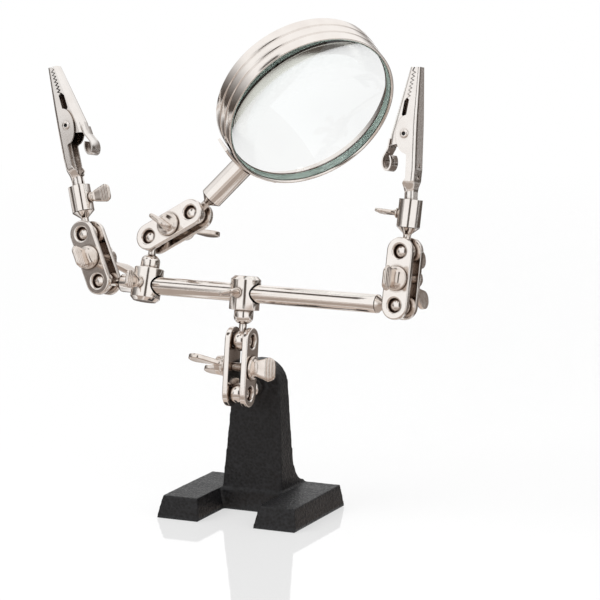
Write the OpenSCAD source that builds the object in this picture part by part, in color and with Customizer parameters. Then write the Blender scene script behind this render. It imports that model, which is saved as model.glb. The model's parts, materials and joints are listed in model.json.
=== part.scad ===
// Helping-hands soldering stand: a cast foot, ball links, a cross bar, two spring clips and a magnifier.
// Millimetres, +Z up, +X along the cross bar, the front faces -Y. The origin is under the foot's centre.

/* [Base] */
// Width of the base across its feet
base_w = 52.8; // [48:0.4:60]
// Depth of the base from front to back
base_d = 42; // [38:0.5:50]
// Height of the feet
foot_h = 7.6; // [6:0.2:10]
// Width of the notch between the front feet, at the floor
notch_w = 20.4; // [17:0.2:22]
// How far the feet's walls lean in from floor to top
foot_draft = 1.5; // [0.8:0.1:2.5]
// Height of the base ball's centre above the floor
base_ball_h = 43.8; // [40:0.2:50]
// Radius of the upright's round top
upright_r = 9; // [8:0.1:10]
// Half width of the upright where it meets the floor
upright_root = 11.9; // [11:0.1:13]
// Radius of the hollow flare where the upright's back meets the base
flare_r = 9.5; // [5:0.5:10]
// Front of the upright at the floor, from the base's middle
face_y = -0.4; // [-2:0.1:1]
// Back of the upright, from the base's middle
back_y = 12; // [10:0.2:14]
// Lean of the upright's front face
face_lean = 5.7; // [3:0.1:7]

/* [Ball links] */
// Diameter of each ball
ball_d = 7; // [6.6:0.1:7.4]
// Diameter of the necks that carry the balls
neck_d = 2.7; // [2.4:0.1:3]
// Length of the cone behind each neck
cone_h = 2.3; // [1.5:0.1:3]
// Distance between a link's two balls
link_len = 18; // [17:0.5:22]
// Width of a link plate
plate_w = 9.5; // [9:0.1:10.5]
// Thickness of a link plate
plate_t = 2; // [1.6:0.1:2.4]
// Space between the two plates of a link
plate_gap = 4.7; // [4.4:0.1:5]

/* [Cross bar and clamps] */
// Diameter of the cross bar
bar_d = 6.35; // [5.5:0.05:7]
// Distance from the centre clamp to the left bar ball
left_reach = 58; // [54:0.5:66]
// Distance from the centre clamp to the right bar ball
right_reach = 60; // [54:0.5:66]
// Diameter of a clamp body
clamp_d = 10.4; // [9.8:0.1:12]
// Length of a clamp body
clamp_h = 11.7; // [11:0.1:14]
// Chamfer on the free end of a clamp body
clamp_chamfer = 1.2; // [0.6:0.1:1.6]
// Diameter of the collars under the clamps and on the base stud
collar_d = 6.7; // [6:0.1:7.5]
// Length of a clamp's collar
collar_h = 2.4; // [1.5:0.1:3.5]
// Length of the base stud's collar
base_collar_h = 4.6; // [3:0.1:6]

/* [Screws] */
// Diameter of the screws through the links
link_screw_d = 3; // [2.6:0.1:3.4]
// Width of a link screw's thumb blade
blade_w = 8.4; // [7.5:0.1:9.5]
// Height of a link screw's head
blade_h = 8.8; // [8:0.2:12]
// Thickness of a link screw's blade
blade_t = 1.8; // [1.4:0.1:2.2]
// Diameter of a link screw's flange and of a wing nut's foot
flange_d = 8.2; // [7:0.1:9]
// Span of a wing nut across its ears
nut_span = 20; // [18:0.2:22]
// Height of a wing nut
nut_h = 12; // [11:0.2:13]
// Diameter of the clamp and socket screws
set_screw_d = 2.9; // [2.4:0.1:3]
// Width of a set screw's thumb blade
set_blade_w = 6.4; // [5.5:0.1:7]
// Height of a set screw's head
set_blade_h = 8.3; // [7:0.1:9.5]
// Thickness of a set screw's blade
set_blade_t = 1.5; // [1.2:0.1:1.8]

/* [Sockets and clips] */
// Outer diameter of a clip socket
socket_d = 7.9; // [7.6:0.1:9]
// Length of a clip socket
socket_h = 9.2; // [9:0.1:11]
// Bore of a clip socket
socket_bore_d = 5.8; // [5.6:0.1:6]
// Length of a clip above its socket
clip_len = 43.8; // [42:0.1:48]
// Height of a clip's rivet above its socket
rivet_h = 21.6; // [20:0.1:23]
// Width of a clip across its side walls at the rivet
clip_w = 7; // [6.6:0.1:7.6]
// Width of a clip's tip
tip_w = 3.8; // [3:0.1:4.6]
// Thickness of the clips' sheet steel
sheet_t = 0.6; // [0.5:0.05:0.7]
// Diameter of a clip's rivet
rivet_d = 2; // [1.8:0.1:2.2]
// Number of teeth on each jaw
tooth_count = 7; // [4:1:9]
// Height of the teeth, from their middle line
tooth_h = 0.45; // [0.2:0.05:0.5]
// Thickness of a clip spring's wire
spring_wire = 0.6; // [0.5:0.05:0.65]
// Number of turns of a clip spring
spring_turns = 3; // [2:1:3]

/* [Magnifier] */
// Distance from the centre clamp to the magnifier's clamp
lens_clamp_reach = 40; // [30:0.5:44]
// Outer diameter of the lens ring
ring_d = 61.2; // [50:0.2:70]
// Width of the lens ring along its axis
ring_w = 12; // [9:0.2:14]
// Thickness of the ring's band
ring_t = 0.9; // [0.8:0.1:1.4]
// Depth of the two grooves round the ring
groove_t = 0.35; // [0.2:0.05:0.5]
// Thickness of the lens at its centre
lens_t = 8.4; // [7:0.2:9]
// Thickness of the lens at its edge
lens_edge = 4.4; // [3:0.1:5]
// How far the lens sits towards the ring's front edge
lens_shift = 1.4; // [0:0.1:1.8]
// Diameter of the magnifier's stem
stem_d = 8; // [7:0.1:9]
// Length of the magnifier's stem
stem_h = 15.7; // [12:0.1:20]
// Thickness of the saddle between stem and ring
saddle_t = 1; // [0.8:0.1:1.6]
// Width of the saddle along the ring's axis
saddle_w = 7; // [5:0.2:8]
// Length of the saddle's strip
saddle_len = 28; // [18:0.5:30]

/* [Pose] */
// Backward lean of the centre link
link_lean = 7.5; // [0:0.5:12]
// Backward lean of the centre clamp
clamp_lean = 10; // [0:0.5:15]
// Turn of the cross bar about the centre clamp
clamp_yaw = -6; // [-10:0.5:5]
// Backward tilt of the left arm
left_tilt = 10; // [0:0.5:15]
// Sideways lean of the left link
left_lean = -27; // [-30:0.5:-15]
// Sideways lean of the left socket and clip
left_socket_lean = -17.5; // [-20:0.5:-5]
// Backward tilt of the right arm
right_tilt = 10; // [0:0.5:15]
// Sideways lean of the right link
right_lean = 2; // [0:0.5:15]
// Sideways lean of the right socket and clip
right_socket_lean = 2.5; // [0:0.5:15]
// Backward tilt of the magnifier's clamp
lens_tilt = 19; // [10:0.5:30]
// Lean of the magnifier's link
lens_link_lean = 58; // [45:0.5:65]
// Lean of the magnifier's stem
stem_lean = 41.5; // [30:0.5:50]
// Turn of the lens ring about its stem
ring_turn = 74.5; // [60:0.5:90]

/* [Hidden] */
$fn = 64;

// Clearances: a running fit all round a shaft, a gap between faces that turn on each other
fit = 0.06;
face_gap = 0.1;
// A cut runs this far past the face that it opens
past = 1;

steel = "gainsboro";
bright = "silver";

ball_r = ball_d / 2;
neck_r = neck_d / 2;
seat_r = ball_r + fit;
// Plates turn round a ball inside the neck's length
swing_room = 1.1;
neck_reach = plate_w / 2 + swing_room;
stud_seat = neck_reach + cone_h;
stack = plate_gap / 2 + plate_t;
// A ball sits in the rim of a hole that is a little smaller than its seat
seat_share = 0.9;
plate_hole_r = seat_share * sqrt(seat_r * seat_r - plate_gap * plate_gap / 4);
plate_dish = 0.4;

stud_shank_r = 1.25;
stud_shank_h = 2.4;
base_shank_r = 2;
base_shank_h = 6;
bar_shank_h = 6;
base_boss_r = collar_d / 2 + 0.9;
base_boss_h = 0.8;
base_boss_root = 3;
base_boss_draft = 0.3;
base_face = face_y + base_ball_h * tan(face_lean) - base_boss_h;
base_ball_y = base_face - stud_seat - base_collar_h;
back_draft = 0.6;
// The flare ends in a low step, short of the circle that hollows it and of the base's back edge
flare_lip = 0.8;
flare_share = 0.85;
flare_step = 0.4;
front_draft = 2.2;

clamp_seat = stud_seat + collar_h;
clamp_reach = clamp_seat + clamp_h / 2;
bar_bore_r = bar_d / 2 + fit;
// The stud's hole stops short of the bar's bore
clamp_wall = 0.25;
clamp_shank_h = clamp_h / 2 - bar_bore_r - clamp_wall - face_gap;

flange_h = 1.1;
flange_neck_h = 1.2;
groove_r = 0.25;
groove_pitch = 1.1;
groove_count = 3;
// Shares of a blade's width: its lobes' radius and half of its foot
blade_lobe = 0.32;
blade_foot = 0.24;
// Share of a flange's diameter where the neck above it starts
flange_neck = 0.85;
nut_foot_h = 4.2;
nut_ear_r = 3.2;
nut_ear_t = 1.7;
// Share of a nut's foot that its neck keeps as a radius
nut_waist = 0.4;
set_flange_h = 0.8;
set_flange_d = set_screw_d + 0.6;

socket_seat = stud_seat + face_gap;
socket_top = socket_seat + socket_h;
socket_floor = stud_shank_h + 0.9;
socket_screw_h = 5;
clip_tail_r = socket_bore_d / 2 - 0.6;
clip_tail_h = socket_h - socket_floor - 1;
tail_wall = 0.5;
// A leaning sheet is a little thicker when it is measured level
sheet_share = 1.05;
right_clip_tilt = -5;

// Clip outlines lie in the plane of the jaws: x across, y up from the socket
spine_x = 2.6;
spine_foot = [1.9, 1.5];
spine_bend_h = 10;
channel_x = -1.9;
tip_depth = 1.85;
moving_tip_x = -1.1;
back_x = -7.6;
rivet_x = -1.65;
lobe_r = 3.1;
inner_lobe_r = 2.6;
wall_play = 0.15;
jaw_play = 0.14;
tooth_len = 9.1;
tooth_top = [spine_x - tip_depth - 0.1, clip_len - 1.2];
tooth_root = [-0.9, tooth_top[1] - tooth_len];
window_gap = 2;
window_len = 5.6;
// Where the thumb tab bends, out from the back and down from the rivet
tab_outs = [0.5, 0.8, 1.6];
tab_drops = [3.8, 7.6, 11.3];
tab_knee = [back_x - tab_outs[0], rivet_h - tab_drops[0]];
tab_bend = [back_x - tab_outs[1], rivet_h - tab_drops[1]];
tab_end = [back_x - tab_outs[2], rivet_h - tab_drops[2]];
wire_hole_drops = [10.5, 14.5];
wire_hole_d = 1.6;
curl_r = 1.2;
rivet_head_r = rivet_d / 2 + 0.55;
rivet_head_h = 0.45;

ring_r = ring_d / 2;
lens_r = ring_r - ring_t - face_gap / 2;
groove_w = 1.2;
groove_floor_w = 0.5;
// The grooves part the band into three equal ribs
groove_at = ring_w / 6;
lip_h = 0.6;
lip_t = 0.7;
lens_sag = (lens_t - lens_edge) / 2;
lens_ball_r = (lens_r * lens_r + lens_sag * lens_sag) / (2 * lens_sag);
// The lips stand clear of the lens's round faces
lip_seat = lens_t / 2 - lens_ball_r + sqrt(lens_ball_r * lens_ball_r - pow(lens_r - lip_t, 2));
lip_at = lip_seat + face_gap / 2 + lip_h / 2;
saddle_r = ring_r + face_gap / 2;
ring_reach = socket_seat + stem_h + saddle_t + saddle_r;
// The saddle is bent less than the ring, so that its ends stand off
saddle_ease = 12;
saddle_bend_r = saddle_r + saddle_ease;
saddle_angle = saddle_len / saddle_bend_r * 90 / PI;
stem_shank_r = 1.5;
stem_shank_h = 7;

// Places, each in the frame of the piece that carries it

module at_base_ball() {
    translate([0, base_ball_y, base_ball_h]) children();
}

module at_centre_link() {
    at_base_ball() rotate([-link_lean, 0, 0]) children();
}

module at_centre_clamp() {
    at_centre_link()
        translate([0, 0, link_len])
            rotate([link_lean - clamp_lean, 0, 0])
                rotate([0, 0, clamp_yaw])
                    children();
}

module at_bar() {
    at_centre_clamp() translate([0, 0, clamp_reach]) children();
}

module at_arm(reach, tilt, lean) {
    at_bar()
        translate([reach, 0, 0])
            rotate([clamp_lean - tilt, 0, 0])
                rotate([0, lean, 0])
                    children();
}

module at_left_link() {
    at_arm(-left_reach, left_tilt, left_lean) children();
}

module at_right_link() {
    at_arm(right_reach, right_tilt, right_lean) children();
}

module at_left_socket() {
    at_left_link() translate([0, 0, link_len]) rotate([0, left_socket_lean - left_lean, 0]) children();
}

module at_right_socket() {
    at_right_link() translate([0, 0, link_len]) rotate([0, right_socket_lean - right_lean, 0]) children();
}

// The left clip is the right one mirrored
module at_left_clip() {
    at_left_socket()
        translate([0, 0, socket_top])
            mirror([1, 0, 0])
                children();
}

module at_right_clip() {
    at_right_socket() translate([0, 0, socket_top]) rotate([0, right_clip_tilt, 0]) children();
}

module at_lens_clamp() {
    at_arm(-lens_clamp_reach, lens_tilt, 0) children();
}

// The magnifier's clamp hangs from its ball, so that clamp is drawn upside down
module at_lens_ball() {
    at_lens_clamp() translate([0, 0, clamp_reach]) rotate([0, 180, 0]) children();
}

module at_lens_link() {
    at_lens_clamp() translate([0, 0, clamp_reach]) rotate([0, lens_link_lean, 0]) children();
}

module at_stem() {
    at_lens_link()
        translate([0, 0, link_len])
            rotate([0, stem_lean - lens_link_lean, 0])
                rotate([0, 0, ring_turn])
                    children();
}

module at_ring() {
    at_stem() translate([0, 0, ring_reach]) children();
}

// Turns +Z to point out of a link's front face, its rear face or a clamp's front
module out_front(distance) {
    translate([0, -distance, 0]) rotate([90, 0, 0]) children();
}

module out_rear(distance) {
    translate([0, distance, 0]) rotate([-90, 0, 0]) children();
}

module half_way() {
    translate([0, 0, link_len / 2]) children();
}

// Shared shapes

// A ball on its neck: the ball's centre is the origin and the shank points along +Z
module ball_stud(seat_d, length, shank_r, shank_h) {
    sphere(r = ball_r);
    cylinder(r = neck_r, h = neck_reach + cone_h / 2);
    translate([0, 0, neck_reach]) cylinder(r1 = neck_r, r2 = seat_d / 2, h = cone_h);
    if (length > 0) translate([0, 0, stud_seat]) cylinder(r = seat_d / 2, h = length);
    translate([0, 0, neck_reach + cone_h / 2]) cylinder(r = shank_r, h = cone_h / 2 + length + shank_h);
}

// One plate of a link, on the side that its sign names: -1 is the front, 1 the rear
module link_plate(side) {
    ends = [0, link_len];
    difference() {
        translate([0, side * (plate_gap + plate_t) / 2, 0])
            rotate([90, 0, 0])
                linear_extrude(plate_t, center = true) {
                    for (z = ends) translate([0, z]) circle(d = plate_w);
                    translate([-plate_w / 2, 0]) square([plate_w, link_len]);
                }
        for (z = ends) translate([0, 0, z]) {
            sphere(r = seat_r);
            rotate([-side * 90, 0, 0]) cylinder(r = plate_hole_r, h = stack + past);
            rotate([-side * 90, 0, 0])
                translate([0, 0, stack - plate_dish])
                    cylinder(r1 = plate_hole_r, r2 = plate_hole_r + 2 * plate_dish, h = 2 * plate_dish);
        }
        half_way()
            rotate([90, 0, 0]) cylinder(d = link_screw_d + 2 * fit, h = 2 * stack + past, center = true);
    }
}

// Outline of a thumb blade: two rounded lobes on a waisted foot
module blade_outline(width, height) {
    lobe = width * blade_lobe;
    for (side = [-1, 1]) translate([side * (width / 2 - lobe), height - lobe]) circle(r = lobe);
    translate([lobe - width / 2, height - 2 * lobe]) square([width - 2 * lobe, 1.8 * lobe]);
    polygon([
        [-width * blade_foot, 0], [width * blade_foot, 0],
        [width / 2, height - lobe], [-width / 2, height - lobe]
    ]);
}

// A thumb screw: its head stands on the plane z = 0 and its shank points down
module thumb_screw(rim_d, rim_h, width, height, thick, shank_d, shank_h) {
    difference() {
        union() {
            cylinder(d = rim_d, h = rim_h);
            translate([0, 0, rim_h]) cylinder(d1 = rim_d * flange_neck, d2 = thick, h = flange_neck_h);
            rotate([90, 0, 0]) linear_extrude(thick, center = true) blade_outline(width, height);
        }
        for (side = [-1, 1], i = [1:groove_count])
            translate([0, side * thick / 2, height - i * groove_pitch])
                rotate([0, 90, 0])
                    cylinder(r = groove_r, h = width + past, center = true, $fn = 16);
    }
    translate([0, 0, -shank_h]) cylinder(d = shank_d, h = shank_h + rim_h / 2);
}

// A wing nut: its foot stands on the plane z = 0 and its two ears rise in the XZ plane
module wing_nut() {
    ear_x = nut_span / 2 - nut_ear_r;
    ear_z = nut_h - nut_ear_r;
    waist = flange_d * nut_waist;
    difference() {
        union() {
            cylinder(d1 = flange_d, d2 = waist * 2, h = nut_foot_h);
            rotate([90, 0, 0])
                linear_extrude(nut_ear_t, center = true)
                    for (side = [-1, 1]) {
                        translate([side * ear_x, ear_z]) circle(r = nut_ear_r);
                        polygon([
                            [0, 0], [side * waist, 0], [side * (ear_x + nut_ear_r), ear_z],
                            [side * (ear_x - nut_ear_r), ear_z], [0, nut_foot_h]
                        ]);
                    }
        }
        translate([0, 0, -past]) cylinder(d = link_screw_d + 2 * fit, h = nut_h);
    }
}

module link_screw(turn) {
    color(steel)
        half_way() out_front(stack + face_gap) rotate([0, 0, turn])
            thumb_screw(flange_d, flange_h, blade_w, blade_h, blade_t, link_screw_d,
                2 * stack + 2 * face_gap + nut_foot_h);
}

module link_nut(turn) {
    color(steel) half_way() out_rear(stack + face_gap) rotate([0, 0, turn]) wing_nut();
}

// A clamp body, from the ball that carries it: the bar's bore runs along X
module clamp_body() {
    color(steel)
        difference() {
            translate([0, 0, clamp_seat]) {
                cylinder(d = clamp_d, h = clamp_h - clamp_chamfer);
                translate([0, 0, clamp_h - clamp_chamfer])
                    cylinder(d1 = clamp_d, d2 = clamp_d - 2 * clamp_chamfer, h = clamp_chamfer);
            }
            translate([0, 0, clamp_reach])
                rotate([0, 90, 0])
                    cylinder(r = bar_bore_r, h = clamp_d + past, center = true);
            translate([0, 0, clamp_seat - past])
                cylinder(r = base_shank_r + fit, h = past + clamp_shank_h + face_gap);
            translate([0, 0, clamp_reach])
                rotate([90, 0, 0])
                    cylinder(d = set_screw_d + 2 * fit, h = clamp_d);
        }
}

module clamp_ball_stud() {
    color(steel) ball_stud(collar_d, collar_h - face_gap, base_shank_r, face_gap + clamp_shank_h);
}

module set_screw(shank_h) {
    thumb_screw(set_flange_d, set_flange_h, set_blade_w, set_blade_h, set_blade_t, set_screw_d, shank_h);
}

module clamp_screw(turn) {
    seat = clamp_d / 2 + face_gap;
    color(steel)
        translate([0, 0, clamp_reach])
            out_front(seat)
                rotate([0, 0, turn])
                    set_screw(seat - bar_d / 2 - face_gap);
}

module socket_ball_stud() {
    color(steel) ball_stud(socket_d, 0, stud_shank_r, face_gap + stud_shank_h);
}

// A clip socket: a cup for the clip's tail, turning on the stud below it
module socket(screw_turn) {
    color(steel)
        difference() {
            translate([0, 0, socket_seat]) cylinder(d = socket_d, h = socket_h);
            translate([0, 0, socket_seat - past])
                cylinder(r = stud_shank_r + fit, h = past + stud_shank_h + face_gap);
            translate([0, 0, socket_seat + socket_floor]) cylinder(d = socket_bore_d, h = socket_h);
            translate([0, 0, socket_top - socket_screw_h])
                rotate([0, 0, screw_turn])
                    rotate([90, 0, 0])
                        cylinder(d = set_screw_d + 2 * fit, h = socket_d);
        }
}

module socket_screw(screw_turn, turn) {
    seat = socket_d / 2 + face_gap;
    color(steel)
        translate([0, 0, socket_top - socket_screw_h])
            rotate([0, 0, screw_turn])
                out_front(seat)
                    rotate([0, 0, turn])
                        set_screw(seat - socket_bore_d / 2);
}

// Spring clip: outlines in the plane of the jaws, drawn at the right clip

// Corners of the teeth from tip to root, moved aside by the play between the jaws
function tooth_line(play) = [
    for (i = [0:2 * tooth_count])
        let (
            along = i / (2 * tooth_count),
            aside = (i % 2 == 0 ? -tooth_h : tooth_h) + play
        )
        tooth_top + along * (tooth_root - tooth_top) + [aside, 0]
];

function reversed(list) = [for (i = [len(list) - 1:-1:0]) list[i]];

module fixed_outline() {
    polygon(concat(
        [spine_foot, [spine_x, spine_bend_h], [spine_x, clip_len]],
        [[spine_x - tip_depth + jaw_play, clip_len]],
        tooth_line(jaw_play),
        [tooth_root + [0.4, -0.6], tooth_root + [-0.3, -window_len], [rivet_x, rivet_h + lobe_r]],
        [[rivet_x, rivet_h - lobe_r], [rivet_x + 1.4, rivet_h - 6.6]],
        [[channel_x, rivet_h / 4], [channel_x, spine_foot[1]]]
    ));
    translate([rivet_x, rivet_h]) circle(r = lobe_r);
}

// The moving jaw with its thumb tab: its back is bent outwards below the rivet
module moving_outline() {
    inside = [sheet_t, 0];
    polygon(concat(
        [[moving_tip_x, clip_len], [spine_x - tip_depth - jaw_play, clip_len]],
        tooth_line(-jaw_play),
        [tooth_root + [0.4 - window_gap, -1], tooth_root + [-0.3 - window_gap, -window_len]],
        [[rivet_x + inner_lobe_r * 0.8, rivet_h], [rivet_x, rivet_h - inner_lobe_r]],
        [tab_knee + inside, tab_bend + inside, tab_end + inside],
        [tab_end, tab_bend, tab_knee, [back_x, rivet_h]]
    ));
}

// The space inside the moving jaw, on the far side of its back
module moving_inside() {
    inside = [sheet_t * sheet_share, 0];
    polygon([
        [moving_tip_x, clip_len] + inside, [spine_x, clip_len + past], [spine_x, tab_bend[1]],
        tab_bend + inside, tab_knee + inside, [back_x, rivet_h] + inside
    ]);
}

// A slab as wide as the clip at the rivet that narrows to the tip
module clip_taper(width, end_width) {
    rotate([90, 0, 90])
        linear_extrude(clip_len, center = true)
            polygon([
                [-width / 2, -clip_len], [width / 2, -clip_len], [width / 2, rivet_h + lobe_r],
                [end_width / 2, clip_len + past], [-end_width / 2, clip_len + past],
                [-width / 2, rivet_h + lobe_r]
            ]);
}

// Raises an outline across the jaws
module raise(width) {
    rotate([90, 0, 0]) linear_extrude(width, center = true) children();
}

module rivet_disc(radius, width) {
    translate([rivet_x, 0, rivet_h]) rotate([90, 0, 0]) cylinder(r = radius, h = width, center = true);
}

// The roll at the end of the thumb tab
module curl_disc(radius, width) {
    translate([tab_end[0] + sheet_t / 2, 0, tab_end[1] - 0.7 * curl_r])
        rotate([90, 0, 0])
            cylinder(r = radius, h = width, center = true);
}

module clip_fixed_jaw() {
    hole_heights = [for (drop = wire_hole_drops) rivet_h - drop];
    color(bright)
        difference() {
            union() {
                intersection() {
                    raise(clip_w) fixed_outline();
                    clip_taper(clip_w, tip_w);
                }
                translate([0, 0, -clip_tail_h])
                    cylinder(r = clip_tail_r, h = clip_tail_h + spine_foot[1] + 0.1);
            }
            intersection() {
                raise(clip_w) fixed_inside();
                clip_taper(clip_w - 2 * sheet_t, tip_w - 2 * sheet_t);
            }
            translate([0, 0, -clip_tail_h - past])
                cylinder(r = clip_tail_r - tail_wall, h = clip_tail_h + past + spine_foot[1] + past);
            rivet_disc(rivet_d / 2 + fit, clip_w + past);
            for (z = hole_heights)
                translate([0, 0, z]) rotate([0, 90, 0]) cylinder(d = wire_hole_d, h = spine_x + past);
        }
}

// The space inside the fixed jaw, on the near side of its spine
module fixed_inside() {
    inside = [-sheet_t, 0];
    far = [rivet_x - 2 * lobe_r, 0];
    polygon([
        spine_foot + inside, [spine_x, spine_bend_h] + inside, [spine_x, clip_len + past] + inside,
        far + [0, clip_len + past], far + [0, spine_foot[1]]
    ]);
}

module clip_moving_jaw() {
    width = clip_w - 2 * sheet_t - 2 * wall_play;
    color(bright)
        difference() {
            intersection() {
                union() {
                    raise(width) moving_outline();
                    rivet_disc(inner_lobe_r, width);
                    curl_disc(curl_r, width);
                }
                clip_taper(width, tip_w);
            }
            intersection() {
                raise(width) moving_inside();
                clip_taper(width - 2 * sheet_t, tip_w - 2 * sheet_t);
            }
            curl_disc(curl_r - sheet_t, clip_w);
            rivet_disc(rivet_d / 2 + fit, clip_w);
        }
}

module clip_rivet() {
    head = clip_w / 2 + 0.02;
    color(bright)
        translate([rivet_x, 0, rivet_h])
            for (side = [-1, 1])
                rotate([side * 90, 0, 0]) {
                    cylinder(d = rivet_d, h = head + rivet_head_h / 2);
                    translate([0, 0, head]) cylinder(r1 = rivet_head_r, r2 = rivet_d / 2, h = rivet_head_h);
                }
}

// The clip's torsion spring: a coil round the rivet with a leg on each jaw

spring_r = rivet_d / 2 + spring_wire / 2 + 0.25;
spring_pitch = spring_wire + 0.45;
curl_steps = 8;
spring_sides = 6;
spring_steps = spring_turns * curl_steps + 2;
// The coil starts where its tangent points at the fixed jaw's spine
leg_fixed_angle = 20;
// Space between the legs' ends and the sheets that they push on
leg_room = 0.06;

function coil_point(i) =
    let (angle = leg_fixed_angle + i * 360 / curl_steps)
    [
        rivet_x + spring_r * cos(angle),
        (i - spring_steps / 2) * spring_pitch / curl_steps,
        rivet_h + spring_r * sin(angle)
    ];

function unit(v) = v / norm(v);

// The legs lie flat between the jaws' walls
function flat_unit(v) = unit([v[0], 0, v[2]]);

spring_coil = [for (i = [0:spring_steps]) coil_point(i)];
spring_start = flat_unit(spring_coil[0] - spring_coil[1]);
spring_finish = flat_unit(spring_coil[spring_steps] - spring_coil[spring_steps - 1]);
spine_wall = spine_x - sheet_t - spring_wire / 2 - leg_room;
fixed_leg_len = (spine_wall - spring_coil[0][0]) / spring_start[0];
// The moving leg reaches for the jaw's back, which leans over to the tip
back_slope = (moving_tip_x - back_x) / (clip_len - rivet_h);
back_wall = back_x + sheet_t * sheet_share + back_slope * spring_wire / 2 + leg_room;
spring_end = spring_coil[spring_steps];
moving_leg_len = (back_wall + back_slope * (spring_end[2] - rivet_h) - spring_end[0])
    / (spring_finish[0] - back_slope * spring_finish[2]);
spring_path = concat(
    [spring_coil[0] + fixed_leg_len * spring_start],
    spring_coil,
    [spring_end + moving_leg_len * spring_finish]
);
spring_last = len(spring_path) - 1;

function path_tangent(i) = unit(spring_path[min(i + 1, spring_last)] - spring_path[max(i - 1, 0)]);

function wire_point(i, side) =
    let (
        tangent = path_tangent(i),
        across = unit(cross(tangent, [0, 1, 0])),
        along = cross(tangent, across),
        angle = side * 360 / spring_sides
    )
    spring_path[i] + spring_wire / 2 * (cos(angle) * across + sin(angle) * along);

module clip_spring() {
    tip = spring_last * spring_sides;
    points = [for (i = [0:spring_last], j = [0:spring_sides - 1]) wire_point(i, j)];
    walls = [
        for (i = [0:spring_last - 1], j = [0:spring_sides - 1])
            let (
                a = i * spring_sides + j,
                b = i * spring_sides + (j + 1) % spring_sides
            )
            each [[a, a + spring_sides, b + spring_sides], [a, b + spring_sides, b]]
    ];
    caps = [
        for (j = [1:spring_sides - 2])
            each [[0, j, j + 1], [tip, tip + j + 1, tip + j]]
    ];
    color(bright) polyhedron(points, concat(walls, caps));
}

spring_gap = min([
    for (i = [0:spring_last], j = [i + curl_steps / 2:spring_last])
        norm(spring_path[i] - spring_path[j])
]) - spring_wire;
echo(clip_spring_gap = spring_gap);

// Sub-parts

module base_casting() {
    half = base_w / 2;
    deep = base_d / 2;
    color([0.16, 0.16, 0.17]) {
        difference() {
            intersection() {
                raise(base_d + past) polygon([
                    [-half, 0], [half, 0], [half - foot_draft, foot_h], [foot_draft - half, foot_h]
                ]);
                rotate([90, 0, 90]) linear_extrude(base_w + past, center = true) polygon([
                    [-deep, 0], [deep, 0], [deep - back_draft, foot_h], [front_draft - deep, foot_h]
                ]);
            }
            translate([0, (face_y - deep - past) / 2, 0])
                raise(face_y + deep + past) polygon([
                    [-notch_w / 2, 0], [notch_w / 2, 0],
                    [notch_w / 2 + foot_draft, foot_h], [notch_w / 2 + foot_draft, foot_h + past],
                    [-notch_w / 2 - foot_draft, foot_h + past], [-notch_w / 2 - foot_draft, foot_h],
                    [-notch_w / 2, -past], [notch_w / 2, -past]
                ]);
        }
        difference() {
            union() {
                intersection() {
                    raise(base_d) upright_outline();
                    rotate([90, 0, 90]) linear_extrude(base_w, center = true) upright_side();
                }
                translate([0, base_face, base_ball_h])
                    rotate([-90, 0, 0])
                        cylinder(r1 = base_boss_r, r2 = base_boss_r + base_boss_draft, h = base_boss_root);
            }
            translate([0, base_face - past, base_ball_h])
                rotate([-90, 0, 0])
                    cylinder(r = base_shank_r + fit, h = past + base_shank_h + face_gap);
        }
    }
}

// The upright from the front: a tapering slab with a round top
module upright_outline() {
    polygon([
        [-upright_root, 0], [upright_root, 0], [upright_r, base_ball_h], [-upright_r, base_ball_h]
    ]);
    translate([0, base_ball_h]) circle(r = upright_r);
}

// The upright from the side: its front leans back, and a hollow flare runs out at its back
module upright_side() {
    top = base_ball_h + upright_r + past;
    flare_top = foot_h + flare_lip + flare_r;
    flare_y = back_y - back_draft * flare_top / top;
    flare_end = min(flare_y + flare_share * flare_r, base_d / 2 - back_draft - flare_step);
    difference() {
        polygon([
            [face_y, 0], [flare_end, 0], [flare_end, flare_top], [flare_y, flare_top],
            [back_y - back_draft, top], [face_y + top * tan(face_lean), top]
        ]);
        translate([flare_y + flare_r, flare_top]) circle(r = flare_r);
    }
}

module base_ball_stud() {
    color(steel)
        at_base_ball()
            rotate([-90, 0, 0])
                ball_stud(collar_d, base_collar_h - face_gap, base_shank_r, face_gap + base_shank_h);
}

// The centre link's plates face left and right, so its front is turned to +X
module at_centre_plates() {
    at_centre_link() rotate([0, 0, 90]) children();
}

module cross_bar() {
    left_end = -left_reach + stud_seat + face_gap;
    right_end = right_reach - stud_seat - face_gap;
    color(bright)
        at_bar()
            difference() {
                translate([left_end, 0, 0]) rotate([0, 90, 0]) cylinder(d = bar_d, h = right_end - left_end);
                translate([left_end - past, 0, 0])
                    rotate([0, 90, 0])
                        cylinder(r = stud_shank_r + fit, h = past + bar_shank_h + face_gap);
                translate([right_end + past, 0, 0])
                    rotate([0, -90, 0])
                        cylinder(r = stud_shank_r + fit, h = past + bar_shank_h + face_gap);
            }
}

// The stud in a bar end: its shank points along the bar to the middle
module bar_ball_stud(reach, turn) {
    color(steel)
        at_bar()
            translate([reach, 0, 0])
                rotate([0, turn, 0])
                    ball_stud(bar_d, 0, stud_shank_r, face_gap + bar_shank_h);
}

module lens_ball_stud() {
    color(steel) at_stem() ball_stud(stem_d, 0, stem_shank_r, face_gap + stem_shank_h);
}

module lens_stem() {
    color(steel)
        at_stem()
            difference() {
                translate([0, 0, socket_seat]) cylinder(d = stem_d, h = stem_h + saddle_t);
                translate([0, 0, ring_reach + saddle_ease])
                    rotate([90, 0, 0])
                        cylinder(r = saddle_bend_r + saddle_t + face_gap / 2, h = stem_d + past,
                            center = true);
                translate([0, 0, socket_seat - past])
                    cylinder(r = stem_shank_r + fit, h = past + stem_shank_h + face_gap);
            }
}

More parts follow.
